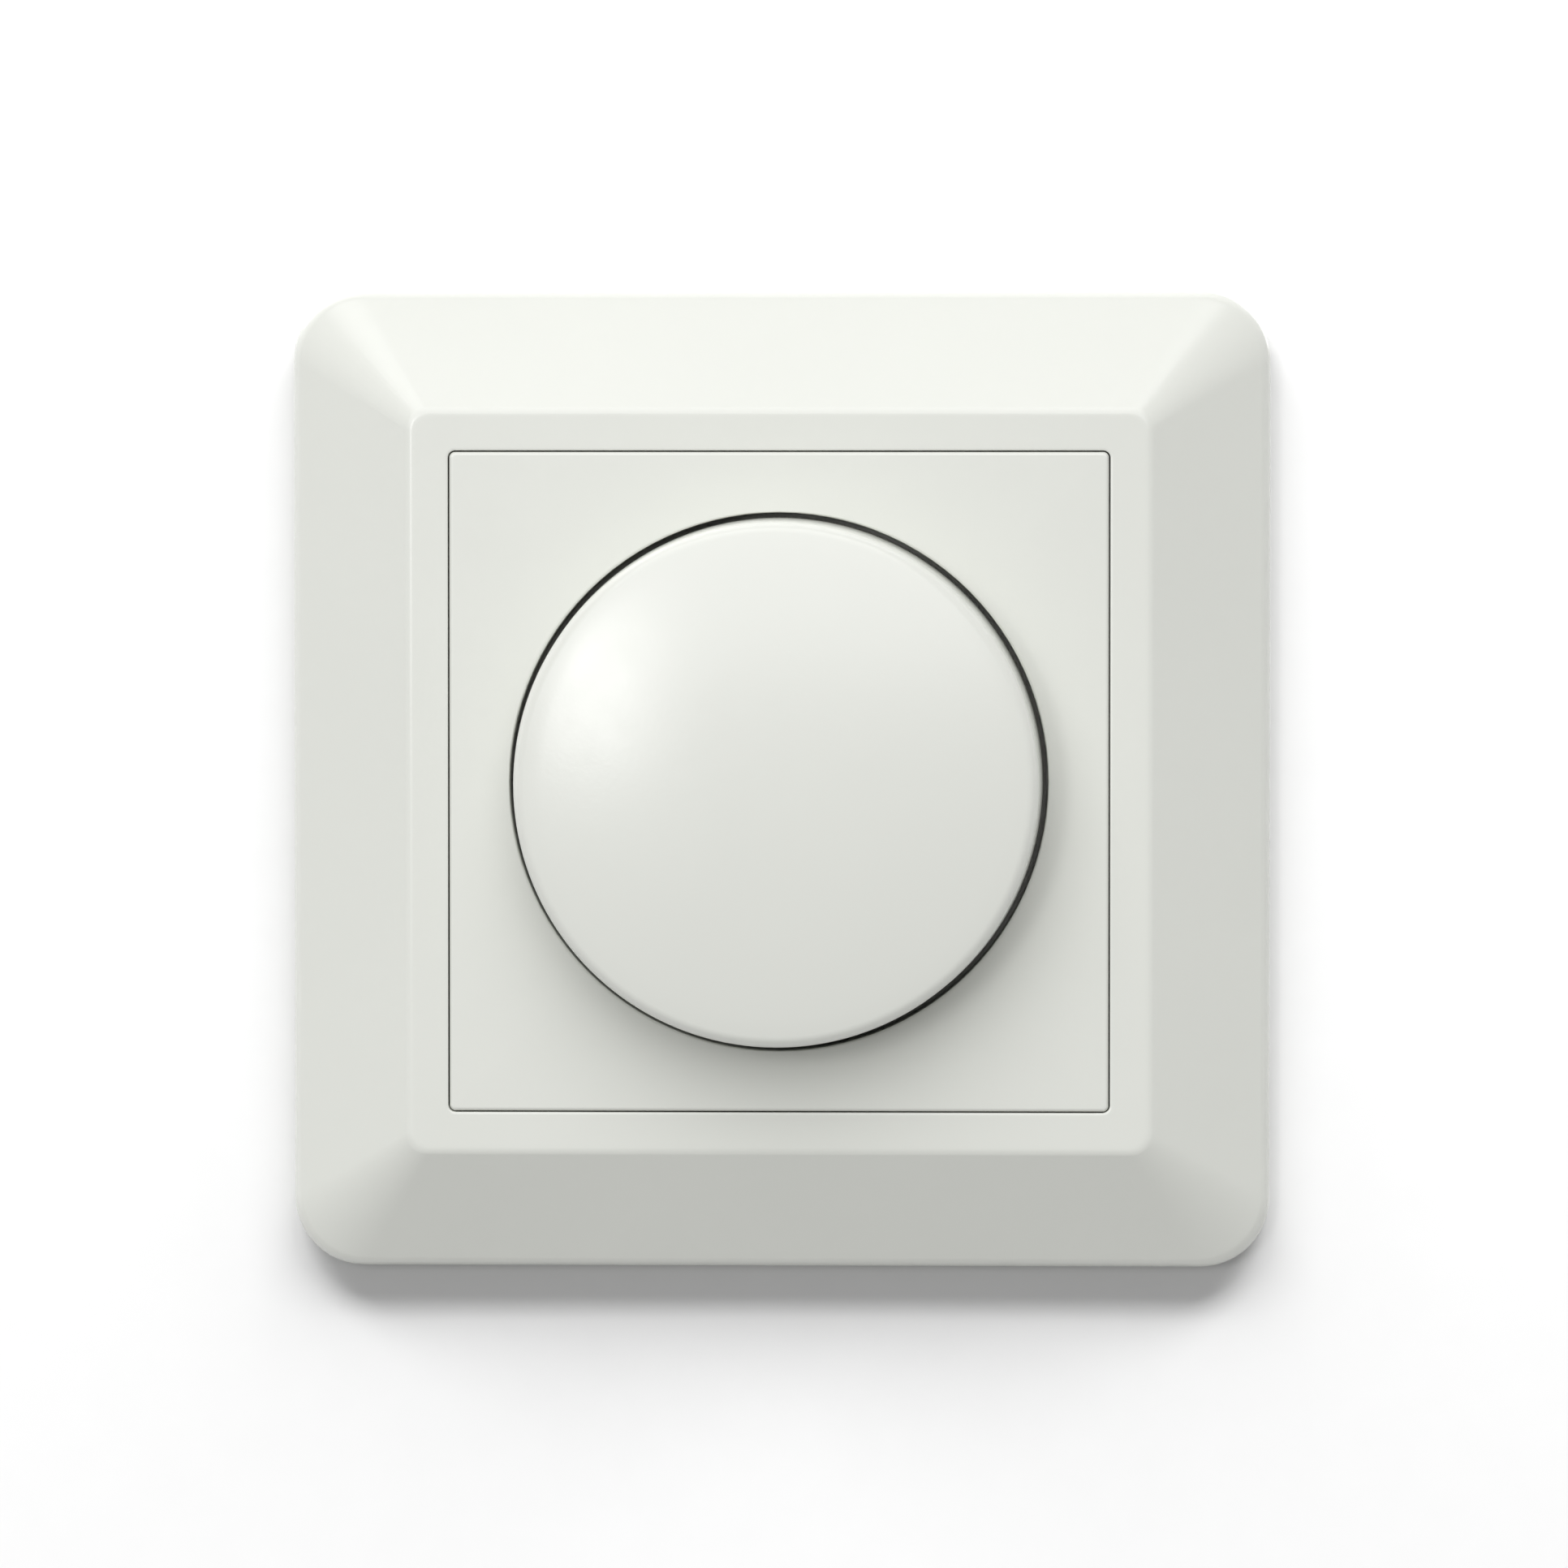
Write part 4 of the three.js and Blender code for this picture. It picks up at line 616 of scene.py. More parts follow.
def turn_solid(outline, steps):
    """Begins a round piece from its outline, with its last circle and its first one closed."""
    begin_bare()
    turn_outline(outline, steps)
    close_centre()
    pick(on_circle(*outline[0]))
    close_centre()


def box_tool(left, right, bottom, top, low, high, turn=0):
    """A plain block in metres, turned about the dimmer's axis, to carve a piece with or to add to it."""
    bpy.ops.object.select_all(action="DESELECT")
    bpy.ops.mesh.primitive_cube_add(size=1)
    tool = bpy.context.object
    tool.scale = ((right - left) * MM, (high - low) * MM, (top - bottom) * MM)
    tool.location = ((left + right) / 2 * MM, -(low + high) / 2 * MM, (bottom + top) / 2 * MM)
    bpy.ops.object.transform_apply(location=True, rotation=True, scale=True)
    tool.rotation_euler = (0, math.radians(turn), 0)
    bpy.ops.object.transform_apply(location=True, rotation=True, scale=True)
    return tool


def unite(piece, part):
    """Makes the part one with the piece."""
    combine(piece, part, "UNION")


knob_radius, _, _, _, knob_under, knob_front = (abs(edge) for edge in extent("knob"))
knob_edge = knob_radius - KNOB_DRAFT
dome_edge = knob_edge - KNOB_ROUNDING
edge_top = knob_front - KNOB_DOME
dome_rise = math.degrees(math.atan(2 * KNOB_DOME / dome_edge))
knob_outline = [
    (HUB_BORE, HUB_BORE_TOP),
    (HUB_BORE, HUB_UNDER),
    (HUB_RADIUS, HUB_UNDER),
    (HUB_RADIUS, knob_front - KNOB_WALL),
    (knob_edge - KNOB_WALL, edge_top - KNOB_WALL),
    (knob_radius - KNOB_WALL, knob_under + KNOB_LIP),
    (knob_radius - KNOB_WALL + KNOB_LIP, knob_under),
    (knob_radius - KNOB_LIP_ROUNDING, knob_under),
    (knob_radius, knob_under + KNOB_LIP_ROUNDING),
]
for step in range(ROUNDING_STEPS + 1):
    angle = math.radians(step * (90 - dome_rise) / ROUNDING_STEPS)
    knob_outline.append((
        dome_edge + KNOB_ROUNDING * math.cos(angle),
        edge_top - KNOB_ROUNDING * (1 - math.sin(angle)),
    ))
dome_start, _ = knob_outline[-1]
for step in range(1, DOME_STEPS):
    share = 1 - step / DOME_STEPS
    knob_outline.append((dome_start * share, knob_front - KNOB_DOME * share * share))
turn_solid(knob_outline, KNOB_STEPS)
knob_cap = complete("knob_cap", smooth=KNOB_SMOOTHING)
cap_under = edge_top - KNOB_WALL
for number in range(RIB_COUNT):
    rib = box_tool(
        HUB_RADIUS - 1, knob_radius - KNOB_WALL / 2, -RIB_THICKNESS / 2, RIB_THICKNESS / 2,
        cap_under - RIB_DEPTH, cap_under + RIB_SINK, turn=number * 360 / RIB_COUNT,
    )
    unite(knob_cap, rib)
slot_reach = HUB_RADIUS + SLOT_OVERCUT
for turn in (0, 90):
    slit = box_tool(
        -slot_reach, slot_reach, -HUB_SLOT / 2, HUB_SLOT / 2,
        HUB_UNDER - OVERCUT, HUB_UNDER + HUB_SLOT_DEPTH, turn=turn,
    )
    carve(knob_cap, slit)
fit(knob_cap, white_moulding, "knob", "knob")


# ---- Knob clip, shaft and circlip ----
# A spring ring squeezes the knob's slotted hub on to the shaft. The shaft is a moulded plastic rod with
# splines at the knob's end and a flat at the other, and a steel circlip holds it in its bush.

STEEL = (0.62, 0.63, 0.64)
DULL_STEEL = (0.5, 0.51, 0.52)
GREY = (0.16, 0.175, 0.185)
SPLINE_TEETH = 18
SPLINE_GAP = 0.44
SPLINE_DEPTH = 0.25
SPLINE_LENGTH = 7.0
SHAFT_FLAT = 2.1
SHAFT_GROOVE = 0.5
GROOVE_CLEARANCE = 0.15
SHAFT_FOOT_CHAMFER = 0.3
SHAFT_TIP_CHAMFER = 0.4
SOFTNESS = 0.12
CIRCLIP_SOFTNESS = 0.08


def worn_metal_group():
    """The fine drawn streaks, dull blotches and bright rubbed edges of sheet and turned metal."""
    group, given, result = effect_group(
        "worn_metal", {"Streak": 9000.0, "Blotch": 260.0, "Edge": 0.52}, ["Height", "Dullness", "Rubbed"],
    )
    place = add_node(group, "ShaderNodeTexCoord")
    shape = add_node(group, "ShaderNodeNewGeometry")
    stretch = add_node(group, "ShaderNodeMapping", {"Scale": (0.06, 1.0, 1.0)})
    streak = add_node(group, "ShaderNodeTexNoise", {"Detail": 3.0, "Roughness": 0.6})
    blotch = add_node(group, "ShaderNodeTexNoise", {"Detail": 4.0, "Roughness": 0.6})
    edge = add_node(group, "ShaderNodeMapRange", {"From Max": 0.6})
    group.links.new(given.outputs["Streak"], streak.inputs["Scale"])
    group.links.new(given.outputs["Blotch"], blotch.inputs["Scale"])
    group.links.new(given.outputs["Edge"], edge.inputs["From Min"])
    group.links.new(place.outputs["Object"], stretch.inputs["Vector"])
    group.links.new(stretch.outputs["Vector"], streak.inputs["Vector"])
    group.links.new(place.outputs["Object"], blotch.inputs["Vector"])
    group.links.new(shape.outputs["Pointiness"], edge.inputs["Value"])
    group.links.new(streak.outputs["Fac"], result.inputs["Height"])
    group.links.new(blotch.outputs["Fac"], result.inputs["Dullness"])
    group.links.new(edge.outputs["Result"], result.inputs["Rubbed"])
    return group


worn_metal = worn_metal_group()


def metal(name, clean, dull, roughness, streak_depth=0.000002, rubbed=True):
    """Bare or plated metal: dull blotches over a clean tone, and bright edges where it is rubbed."""
    finish, tree, shader = new_finish(name)
    wear = place_group(tree, worn_metal)
    colour = tinted(tree, wear.outputs["Dullness"], clean, dull)
    if rubbed:
        edges = add_node(tree, "ShaderNodeMix", data_type="RGBA")
        edges.inputs["B"].default_value = (*[min(channel * 1.25, 1) for channel in clean], 1)
        tree.links.new(wear.outputs["Rubbed"], edges.inputs["Factor"])
        tree.links.new(colour, edges.inputs["A"])
        colour = edges.outputs["Result"]
    tree.links.new(colour, shader.inputs["Base Color"])
    rough = spread(tree, wear.outputs["Dullness"], roughness - 0.08, roughness + 0.1)
    tree.links.new(rough, shader.inputs["Roughness"])
    tree.links.new(raised(tree, wear.outputs["Height"], streak_depth), shader.inputs["Normal"])
    shader.inputs["Metallic"].default_value = 1.0
    return finish


bright_steel = metal("bright_steel", STEEL, DULL_STEEL, roughness=0.28)
grey_moulding = moulded_plastic("grey_moulding", GREY, roughness=0.45, peel_depth=0.000008, drift=0.08)


def soften_edges(piece, width, steps=2, angle=SHARP_ANGLE):
    """Rounds a piece's sharp edges, in millimetres, and smooths the rest by angle."""
    modifier = piece.modifiers.new("soften_edges", "BEVEL")
    modifier.width = width * MM
    modifier.segments = steps
    modifier.limit_method = "ANGLE"
    modifier.angle_limit = math.radians(angle)
    bpy.context.view_layer.objects.active = piece
    bpy.ops.object.modifier_apply(modifier=modifier.name)
    bpy.ops.object.select_all(action="DESELECT")
    piece.select_set(True)
    bpy.ops.object.shade_smooth_by_angle(angle=math.radians(angle))
    even_shading(piece)


def finer_copy(node, name, width=SOFTNESS):
    """A copy of a frame node with its triangles merged into whole faces and its edges rounded."""
    bpy.ops.object.select_all(action="DESELECT")
    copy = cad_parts[node].copy()
    copy.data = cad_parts[node].data.copy()
    copy.parent = None
    for label in list(copy.keys()):
        del copy[label]
    bpy.context.scene.collection.objects.link(copy)
    bpy.context.view_layer.objects.active = copy
    copy.select_set(True)
    copy.name = name
    copy.data.name = name
    copy.data.materials.clear()
    bpy.ops.object.mode_set(mode="EDIT")
    bpy.ops.mesh.select_all(action="SELECT")
    bpy.ops.mesh.remove_doubles(threshold=0.000002)
    bpy.ops.mesh.customdata_custom_splitnormals_clear()
    bpy.ops.mesh.dissolve_limited(angle_limit=math.radians(1))
    bpy.ops.object.mode_set(mode="OBJECT")
    soften_edges(copy, width)
    return copy


clip = finer_copy("knob_clip", "hub_clip")
fit(clip, bright_steel, "knob", "knob_clip")
circlip = finer_copy("shaft_circlip", "shaft_retaining_ring", CIRCLIP_SOFTNESS)
fit(circlip, bright_steel, "knob", "shaft_circlip")

shaft_radius, _, _, _, shaft_low, shaft_high = extent("shaft")
shaft_radius = abs(shaft_radius)
_, _, _, _, circlip_low, circlip_high = extent("shaft_circlip")
groove_radius = shaft_radius - SHAFT_GROOVE
groove_low = circlip_low - GROOVE_CLEARANCE
groove_high = circlip_high + GROOVE_CLEARANCE
shaft_outline = [
    (shaft_radius - SHAFT_FOOT_CHAMFER, shaft_low),
    (shaft_radius, shaft_low + SHAFT_FOOT_CHAMFER),
    (shaft_radius, groove_low),
    (groove_radius, groove_low),
    (groove_radius, groove_high),
    (shaft_radius, groove_high),
    (shaft_radius, shaft_high - SHAFT_TIP_CHAMFER),
    (shaft_radius - SHAFT_TIP_CHAMFER, shaft_high),
]
turn_solid(shaft_outline, SPLINE_TEETH * 4)
splined_shaft = complete("splined_shaft")
past_shaft = shaft_radius + OVERCUT
for number in range(SPLINE_TEETH):
    tooth_gap = box_tool(
        shaft_radius - SPLINE_DEPTH, past_shaft, -SPLINE_GAP / 2, SPLINE_GAP / 2,
        shaft_high - SPLINE_LENGTH, shaft_high + OVERCUT, turn=(number + 0.5) * 360 / SPLINE_TEETH,
    )
    carve(splined_shaft, tooth_gap)
flat = box_tool(SHAFT_FLAT, past_shaft, -past_shaft, past_shaft, shaft_low - OVERCUT, groove_low)
carve(splined_shaft, flat)
fit(splined_shaft, grey_moulding, "knob", "shaft")


# ---- Bush, nut and washer ----
# The brass bush has a fine thread along its whole neck and a broad collar at the back. Its six-sided steel
# nut presses a toothed spring washer on the centre plate's boss.

BRASS = (0.62, 0.44, 0.17)
DULL_BRASS = (0.5, 0.33, 0.11)
ZINC = (0.5, 0.52, 0.54)
DULL_ZINC = (0.4, 0.415, 0.43)
BUSH_STEPS = 64
BUSH_PITCH = 0.75
BUSH_BORE = 3.3
BUSH_CLEARANCE = 0.3
BUSH_CHAMFER = 0.2
COLLAR_TOP = -0.3
THREAD_STEPS = 32
THREAD_START = 0.2
THREAD_RUNOUT = 1.2
NUT_CHAMFER = 0.5
NUT_CHAMFER_REACH = 1.1
NUT_MARGIN = 0.05
NUT_OVERCUT = 0.01
NUT_SOFTNESS = 0.08
WASHER_SOFTNESS = 0.06


def coil(radius, section, sides, low, pitch, turns, steps):
    """A round or three-sided section, radius by radius from its middle, wound round the axis as a screw's
    thread or a spring is, with its two ends closed. It is left in edit mode."""
    begin(
        bpy.ops.mesh.primitive_circle_add, vertices=sides, radius=section,
        location=(radius, -low, 0), rotation=(0, 0, -math.pi / 2),
    )
    bpy.ops.object.mode_set(mode="OBJECT")
    wound = bpy.context.object
    modifier = wound.modifiers.new("wind", "SCREW")
    modifier.axis = "Y"
    modifier.screw_offset = -pitch
    modifier.iterations = turns
    modifier.steps = steps
    modifier.render_steps = steps
    bpy.ops.object.modifier_apply(modifier=modifier.name)
    bpy.ops.object.mode_set(mode="EDIT")
    bpy.ops.mesh.select_all(action="SELECT")
    bpy.ops.mesh.remove_doubles(threshold=0.0001)
    bpy.ops.mesh.select_all(action="DESELECT")
    bpy.ops.mesh.select_mode(type="EDGE")
    bpy.ops.mesh.select_non_manifold()
    bpy.ops.mesh.fill_holes(sides=sides)
    bpy.ops.mesh.select_mode(type="VERT")
    return wound


def thread(name, radius, low, pitch, turns, steps=THREAD_STEPS):
    """A sharp thread whose root lies inside the body that it is cut on."""
    crest = pitch / 2
    coil(radius - crest, crest, 3, low, pitch, turns, steps)
    return complete(name, smooth=20)


def joined_to(piece, part):
    """Makes the part's mesh a second shell of the piece."""
    bpy.ops.object.select_all(action="DESELECT")
    part.select_set(True)
    piece.select_set(True)
    bpy.context.view_layer.objects.active = piece
    bpy.ops.object.join()
    return piece


brass = metal("brass", BRASS, DULL_BRASS, roughness=0.3)
zinc_steel = metal("zinc_steel", ZINC, DULL_ZINC, roughness=0.36)

_, collar_radius, _, _, collar_low, bush_top = extent("pot_bush")
nut_reach, _, _, _, nut_low, nut_high = extent("retaining_nut")
bush_radius = BUSH_HOLE - BUSH_CLEARANCE
neck_radius = bush_radius - BUSH_PITCH / 2
bush_outline = [
    (BUSH_BORE, bush_top),
    (BUSH_BORE, collar_low),
    (collar_radius, collar_low),
    (collar_radius, COLLAR_TOP),
    (neck_radius, COLLAR_TOP),
    (neck_radius, bush_top - BUSH_CHAMFER),
    (neck_radius - BUSH_CHAMFER, bush_top),
]
begin_bare()
turn_outline(bush_outline + bush_outline[:1], BUSH_STEPS)
threaded_bush = complete("threaded_bush")
thread_turns = int((bush_top - THREAD_RUNOUT) / BUSH_PITCH)
bush_thread = thread("bush_thread", bush_radius, THREAD_START, BUSH_PITCH, thread_turns, 48)
threaded_bush = joined_to(threaded_bush, bush_thread)
fit(threaded_bush, brass, "root", "pot_bush")

nut_radius = abs(nut_reach)
begin(
    bpy.ops.mesh.primitive_cylinder_add, vertices=6, radius=nut_radius, depth=nut_high - nut_low,
    location=(0, -(nut_high + nut_low) / 2, 0), rotation=(math.pi / 2, math.pi / 6, 0),
)
hex_nut = complete("hex_nut")
chamfer_outline = [
    (nut_radius - NUT_CHAMFER_REACH, nut_low - NUT_OVERCUT),
    (nut_radius + NUT_MARGIN, nut_low + NUT_CHAMFER),
    (nut_radius + NUT_MARGIN, nut_high - NUT_CHAMFER),
    (nut_radius - NUT_CHAMFER_REACH, nut_high + NUT_OVERCUT),
]
turn_solid(chamfer_outline, BUSH_STEPS)
combine(hex_nut, complete("nut_chamfer"), "INTERSECT")
carve(hex_nut, round_cutter(BUSH_HOLE, 0, 0, nut_low - OVERCUT, nut_high + OVERCUT))
soften_edges(hex_nut, NUT_SOFTNESS)
fit(hex_nut, zinc_steel, "root", "retaining_nut")

toothed_washer = finer_copy("lock_washer", "toothed_washer", WASHER_SOFTNESS)
fit(toothed_washer, bright_steel, "root", "lock_washer")


# ---- Support plate ----
# A square of zinc-plated sheet steel lies on the wall. It is punched for the bush, the box screws' slots,
# the claw screws, the case's countersunk screws and, at its corners, for fixing to a panel.

SHEET_CORNER = 4.0
SHEET_UNDERCUT = -1
SHEET_OVERCUT = 3
BOX_SCREW_PLACE = 30.0
BOX_SLOT_RADIUS = 1.9
BOX_SLOT_REACH = 2.6
CLAW_SCREW_HOLE = 1.8
PANEL_HOLE = 1.7
PANEL_HOLE_INSET = 6.5
CASE_SCREW_HOLE = 1.5
COUNTERSINK_START = 0.05
COUNTERSINK_REACH = 3.65
SHEET_ROUNDING = 0.12


def slot_cutter(radius, reach, x, z, low, high):
    """A cutter for a slot with round ends, which runs along X."""
    tool = round_cutter(radius, x, z, low, high)
    bpy.ops.object.transform_apply(location=True, rotation=True, scale=True)
    bpy.ops.object.mode_set(mode="EDIT")
    pick(lambda point: point.x > x * MM + 0.00001)
    bpy.ops.transform.translate(value=(reach * MM, 0, 0))
    pick(lambda point: point.x < x * MM - 0.00001)
    bpy.ops.transform.translate(value=(-reach * MM, 0, 0))
    bpy.ops.object.mode_set(mode="OBJECT")
    return tool


_, support_half, _, _, _, support_front = extent("support_plate")
panel_place = support_half - PANEL_HOLE_INSET
claw_screw_x, _ = centre_of("claw_screw_right")
case_screw_x, case_screw_z = centre_of("housing_screw_right")
through = (SHEET_UNDERCUT, SHEET_OVERCUT)
countersink = [
    (CASE_SCREW_HOLE, SHEET_UNDERCUT),
    (CASE_SCREW_HOLE, COUNTERSINK_START),
    (COUNTERSINK_REACH, support_front + OVERCUT),
]
begin_bare()
square_outline([(support_half, SHEET_CORNER, 0), (support_half, SHEET_CORNER, support_front)])
bpy.ops.mesh.edge_face_add()
pick(on_square(support_half, SHEET_CORNER, 0))
bpy.ops.mesh.edge_face_add()
sheet = complete("support_sheet")
carve(sheet, round_cutter(BUSH_HOLE, 0, 0, *through, 64))
carve(sheet, round_cutter(TRIMMER_HOLE, trimmer_x, trimmer_z, *through))
for side in (-1, 1):
    carve(sheet, slot_cutter(BOX_SLOT_RADIUS, BOX_SLOT_REACH, 0, side * BOX_SCREW_PLACE, *through))
    carve(sheet, round_cutter(CLAW_SCREW_HOLE, side * claw_screw_x, 0, *through))
    for up in (-1, 1):
        carve(sheet, round_cutter(PANEL_HOLE, side * panel_place, up * panel_place, *through))
    turn_solid(countersink, 48)
    carve(sheet, complete("countersink", place=(side * case_screw_x, 0, case_screw_z)))
soften_edges(sheet, SHEET_ROUNDING)
zinc_sheet = metal("zinc_sheet", ZINC, DULL_ZINC, roughness=0.36, rubbed=False)
fit(sheet, zinc_sheet, "root", "support_plate")


# ---- Screws ----
# Plated steel screws with rolled threads and straight driver slots: two pan heads for the wall box, two for
# the claws, two countersunk ones through the plate into the case, and one in each terminal.

DRIVER_SLOT = 0.8
DRIVER_SLOT_DEPTH = 0.7
SCREW_STEPS = 40
THREAD_DEPTH = 0.75
SCREW_TIP = 0.4
SCREW_POINT = 0.6
SCREW_RUNOUT = 0.4
HEAD_CLEARANCE = 0.3
CLAMP_HEAD = 1.6
PAN_HEAD = [(1, 0), (1, 0.45), (0.96, 0.68), (0.84, 0.86), (0.62, 0.97), (0.3, 1)]
FLAT_HEAD = [(1, 0.95), (1, 1), (0.4, 1)]
CHEESE_HEAD = [(1, 0), (1, 0.85), (0.93, 1), (0.4, 1)]


def screw(name, radius, head, length, pitch, head_outline, place, turn=(0, 0, 0)):
    """A screw whose head stands on height 0: head is its radius and height, head_outline its shape from
    the shank to the top as shares of them."""
    head_radius, head_height = head
    root = radius - THREAD_DEPTH * pitch
    point_top = root * SCREW_POINT - length
    head_shape = [(share * head_radius, rise * head_height) for share, rise in head_outline]
    turn_solid([(root * SCREW_TIP, -length), (root, point_top), (root, 0)] + head_shape, SCREW_STEPS)
    made = complete(name)
    slit = box_tool(
        -head_radius - OVERCUT, head_radius + OVERCUT, -DRIVER_SLOT / 2, DRIVER_SLOT / 2,
        head_height - DRIVER_SLOT_DEPTH, head_height + OVERCUT,
    )
    carve(made, slit)
    turns = int((-point_top - SCREW_RUNOUT) / pitch) - 1
    made = joined_to(made, thread("rolled_thread", radius, point_top, pitch, turns))
    made.rotation_euler = [math.radians(angle) for angle in turn]
    made.location = [MM * distance for distance in place]
    bpy.ops.object.transform_apply(location=True, rotation=True, scale=True)
    bpy.ops.object.shade_smooth_by_angle(angle=math.radians(SHARP_ANGLE))
    return made


head_under = support_front + HEAD_CLEARANCE
for level in ("top", "bottom"):
    _, screw_z = centre_of(f"box_screw_{level}")
    box_screw = screw(
        f"wall_box_screw_{level}", radius=1.6, head=(3.1, 1.6), length=22, pitch=0.6,
        head_outline=PAN_HEAD, place=(0, -head_under, screw_z),
    )
    fit(box_screw, bright_steel, "root", f"box_screw_{level}")
for side, sign in (("left", -1), ("right", 1)):
    claw_screw = screw(
        f"claw_drive_screw_{side}", radius=1.5, head=(2.3, 1.6), length=20, pitch=0.5,
        head_outline=PAN_HEAD, place=(sign * claw_screw_x, -head_under, 0),
    )
    fit(claw_screw, bright_steel, f"claw_screw_{side}", f"claw_screw_{side}")
    case_screw = screw(
        f"case_screw_{side}", radius=1.2, head=(2.4, 1.2), length=7.8, pitch=0.8,
        head_outline=FLAT_HEAD, place=(sign * case_screw_x, 0, case_screw_z),
    )
    fit(case_screw, bright_steel, "root", f"housing_screw_{side}")
for number in (1, 2, 3):
    terminal = f"terminal_screw_{number}"
    terminal_x, _ = centre_of(terminal)
    _, _, screw_low, _, terminal_back, terminal_front = extent(terminal)
    clamp_screw = screw(
        f"clamp_screw_{number}", radius=1.75, head=(2.9, CLAMP_HEAD), length=5.7, pitch=0.5,
        head_outline=CHEESE_HEAD, turn=(90, 0, 0),
        place=(terminal_x, -(terminal_back + terminal_front) / 2, screw_low + CLAMP_HEAD),
    )
    fit(clamp_screw, bright_steel, terminal, terminal)


# ---- Case ----
# The insulating case is a black moulded pot with four flats, closed by a grey lid under the support plate.
# Two ears on each side carry the claw's pin, and three round mouths in its back take the house wires.

BLACK = (0.018, 0.019, 0.021)
CASE_CORNER = 27.0
CASE_HALF = 22.4
CASE_WALL = 1.5
CASE_STEPS = 144
CASE_EDGE = 0.6
EAR_INNER = 4.3
EAR_OUTER = 5.8
EAR_REACH = 25.1
EAR_RADIUS = 1.2
EAR_ROUNDING = 1.08
PIN_PLACE = 23.9
PIN_HEIGHT = -8.0
PIN_BORE = 0.75
PIN_BORE_LENGTH = 14
POST_FOOT_RADIUS = 3.2
POST_FOOT_TOP = -11.3
POST_RADIUS = 2.5
POST_FOOT_SINK = 0.5
POST_SINK = 0.4
POST_BORE = 1.5
POST_BORE_LOW = -8.1
WIRE_HOLE = 1.9
WIRE_PLACE = -14.8
WIRE_MOUTH = 0.6
MOUTH_START = 0.1
DRIVER_HOLE = 3.2
DRIVER_HOLE_LENGTH = 4
DRIVER_HOLE_OFFSET = 0.4
LID_THICKNESS = 1.8
LIP_CLEARANCE = 0.3
LIP_WALL = 1.2
LIP_SINK = 0.5
LID_UNDERCUT = -3
LID_COUNTERBORE = 2.8
COUNTERBORE_DEPTH = 0.1
COLLAR_CLEARANCE = 0.3
CASE_SOFTNESS = 0.12
LID_SOFTNESS = 0.15
CASE_SOFT_ANGLE = 40


def case_block(name, inset, low, high, edge=0.0):
    """A solid with the case's outline, drawn in by an inset, and with its back edge rounded."""
    half = CASE_HALF - inset
    begin(
        bpy.ops.mesh.primitive_cylinder_add, vertices=CASE_STEPS, radius=CASE_CORNER - inset,
        depth=high - low, location=(0, -(high + low) / 2, 0), rotation=(math.pi / 2, 0, 0),
    )
    for across, up in ((1, 0), (-1, 0), (0, 1), (0, -1)):
        bpy.ops.mesh.select_all(action="SELECT")
        bpy.ops.mesh.bisect(
            plane_co=(across * half, 0, up * half), plane_no=(across, 0, up), use_fill=True, clear_outer=True,
        )
    if edge:
        pick(lambda point: abs(point.y + low) < NEAR)
        bpy.ops.mesh.bevel(offset=edge, segments=4, affect="EDGES")
    return complete(name)


def upright_cutter(radius, length, x, height, z, steps):
    """A drill that runs up the wall, in metres, round a place at a height off it."""
    bpy.ops.object.select_all(action="DESELECT")
    bpy.ops.mesh.primitive_cylinder_add(
        vertices=steps, radius=radius * MM, depth=length * MM, location=(x * MM, -height * MM, z * MM),
    )
    return bpy.context.object


def claw_ear(side, up):
    """An ear for a claw's pin, with its reaching edges rounded."""
    left, right = sorted((side * (CASE_HALF - 1), side * EAR_REACH))
    bottom, top = sorted((up * EAR_INNER, up * EAR_OUTER))
    ear = box_tool(left, right, bottom, top, PIN_HEIGHT - EAR_RADIUS, PIN_HEIGHT + EAR_RADIUS)
    bpy.ops.object.mode_set(mode="EDIT")
    for rise in (PIN_HEIGHT - EAR_RADIUS, PIN_HEIGHT + EAR_RADIUS):
        pick(lambda point: abs(point.x) > (EAR_REACH - NEAR) * MM and abs(point.y + rise * MM) < NEAR * MM)
        bpy.ops.mesh.bevel(offset=EAR_ROUNDING * MM, segments=5, affect="EDGES")
    bpy.ops.object.mode_set(mode="OBJECT")
    return ear


black_moulding = moulded_plastic("black_moulding", BLACK, roughness=0.42, peel_depth=0.00001, drift=0.15)

_, _, _, _, case_low, case_high = extent("housing_base")
case_floor = case_low + CASE_WALL
pot = case_block("case_pot", 0, case_low, case_high, CASE_EDGE)
carve(pot, case_block("case_room", CASE_WALL, case_floor, case_high + OVERCUT))
for side in (-1, 1):
    for up in (-1, 1):
        unite(pot, claw_ear(side, up))
for side in (-1, 1):
    carve(pot, upright_cutter(PIN_BORE, PIN_BORE_LENGTH, side * PIN_PLACE, PIN_HEIGHT, 0, 32))
for side in (-1, 1):
    post_place = (side * case_screw_x, case_screw_z)
    unite(pot, round_cutter(POST_FOOT_RADIUS, *post_place, case_floor - POST_FOOT_SINK, POST_FOOT_TOP))
    unite(pot, round_cutter(POST_RADIUS, *post_place, case_floor - POST_SINK, case_high))
    carve(pot, round_cutter(POST_BORE, *post_place, POST_BORE_LOW, case_high + OVERCUT))
wire_mouth = [
    (WIRE_HOLE + WIRE_MOUTH, case_low - MOUTH_START),
    (WIRE_HOLE + WIRE_MOUTH, case_low),
    (WIRE_HOLE, case_low + WIRE_MOUTH),
    (WIRE_HOLE, case_floor + OVERCUT),
]
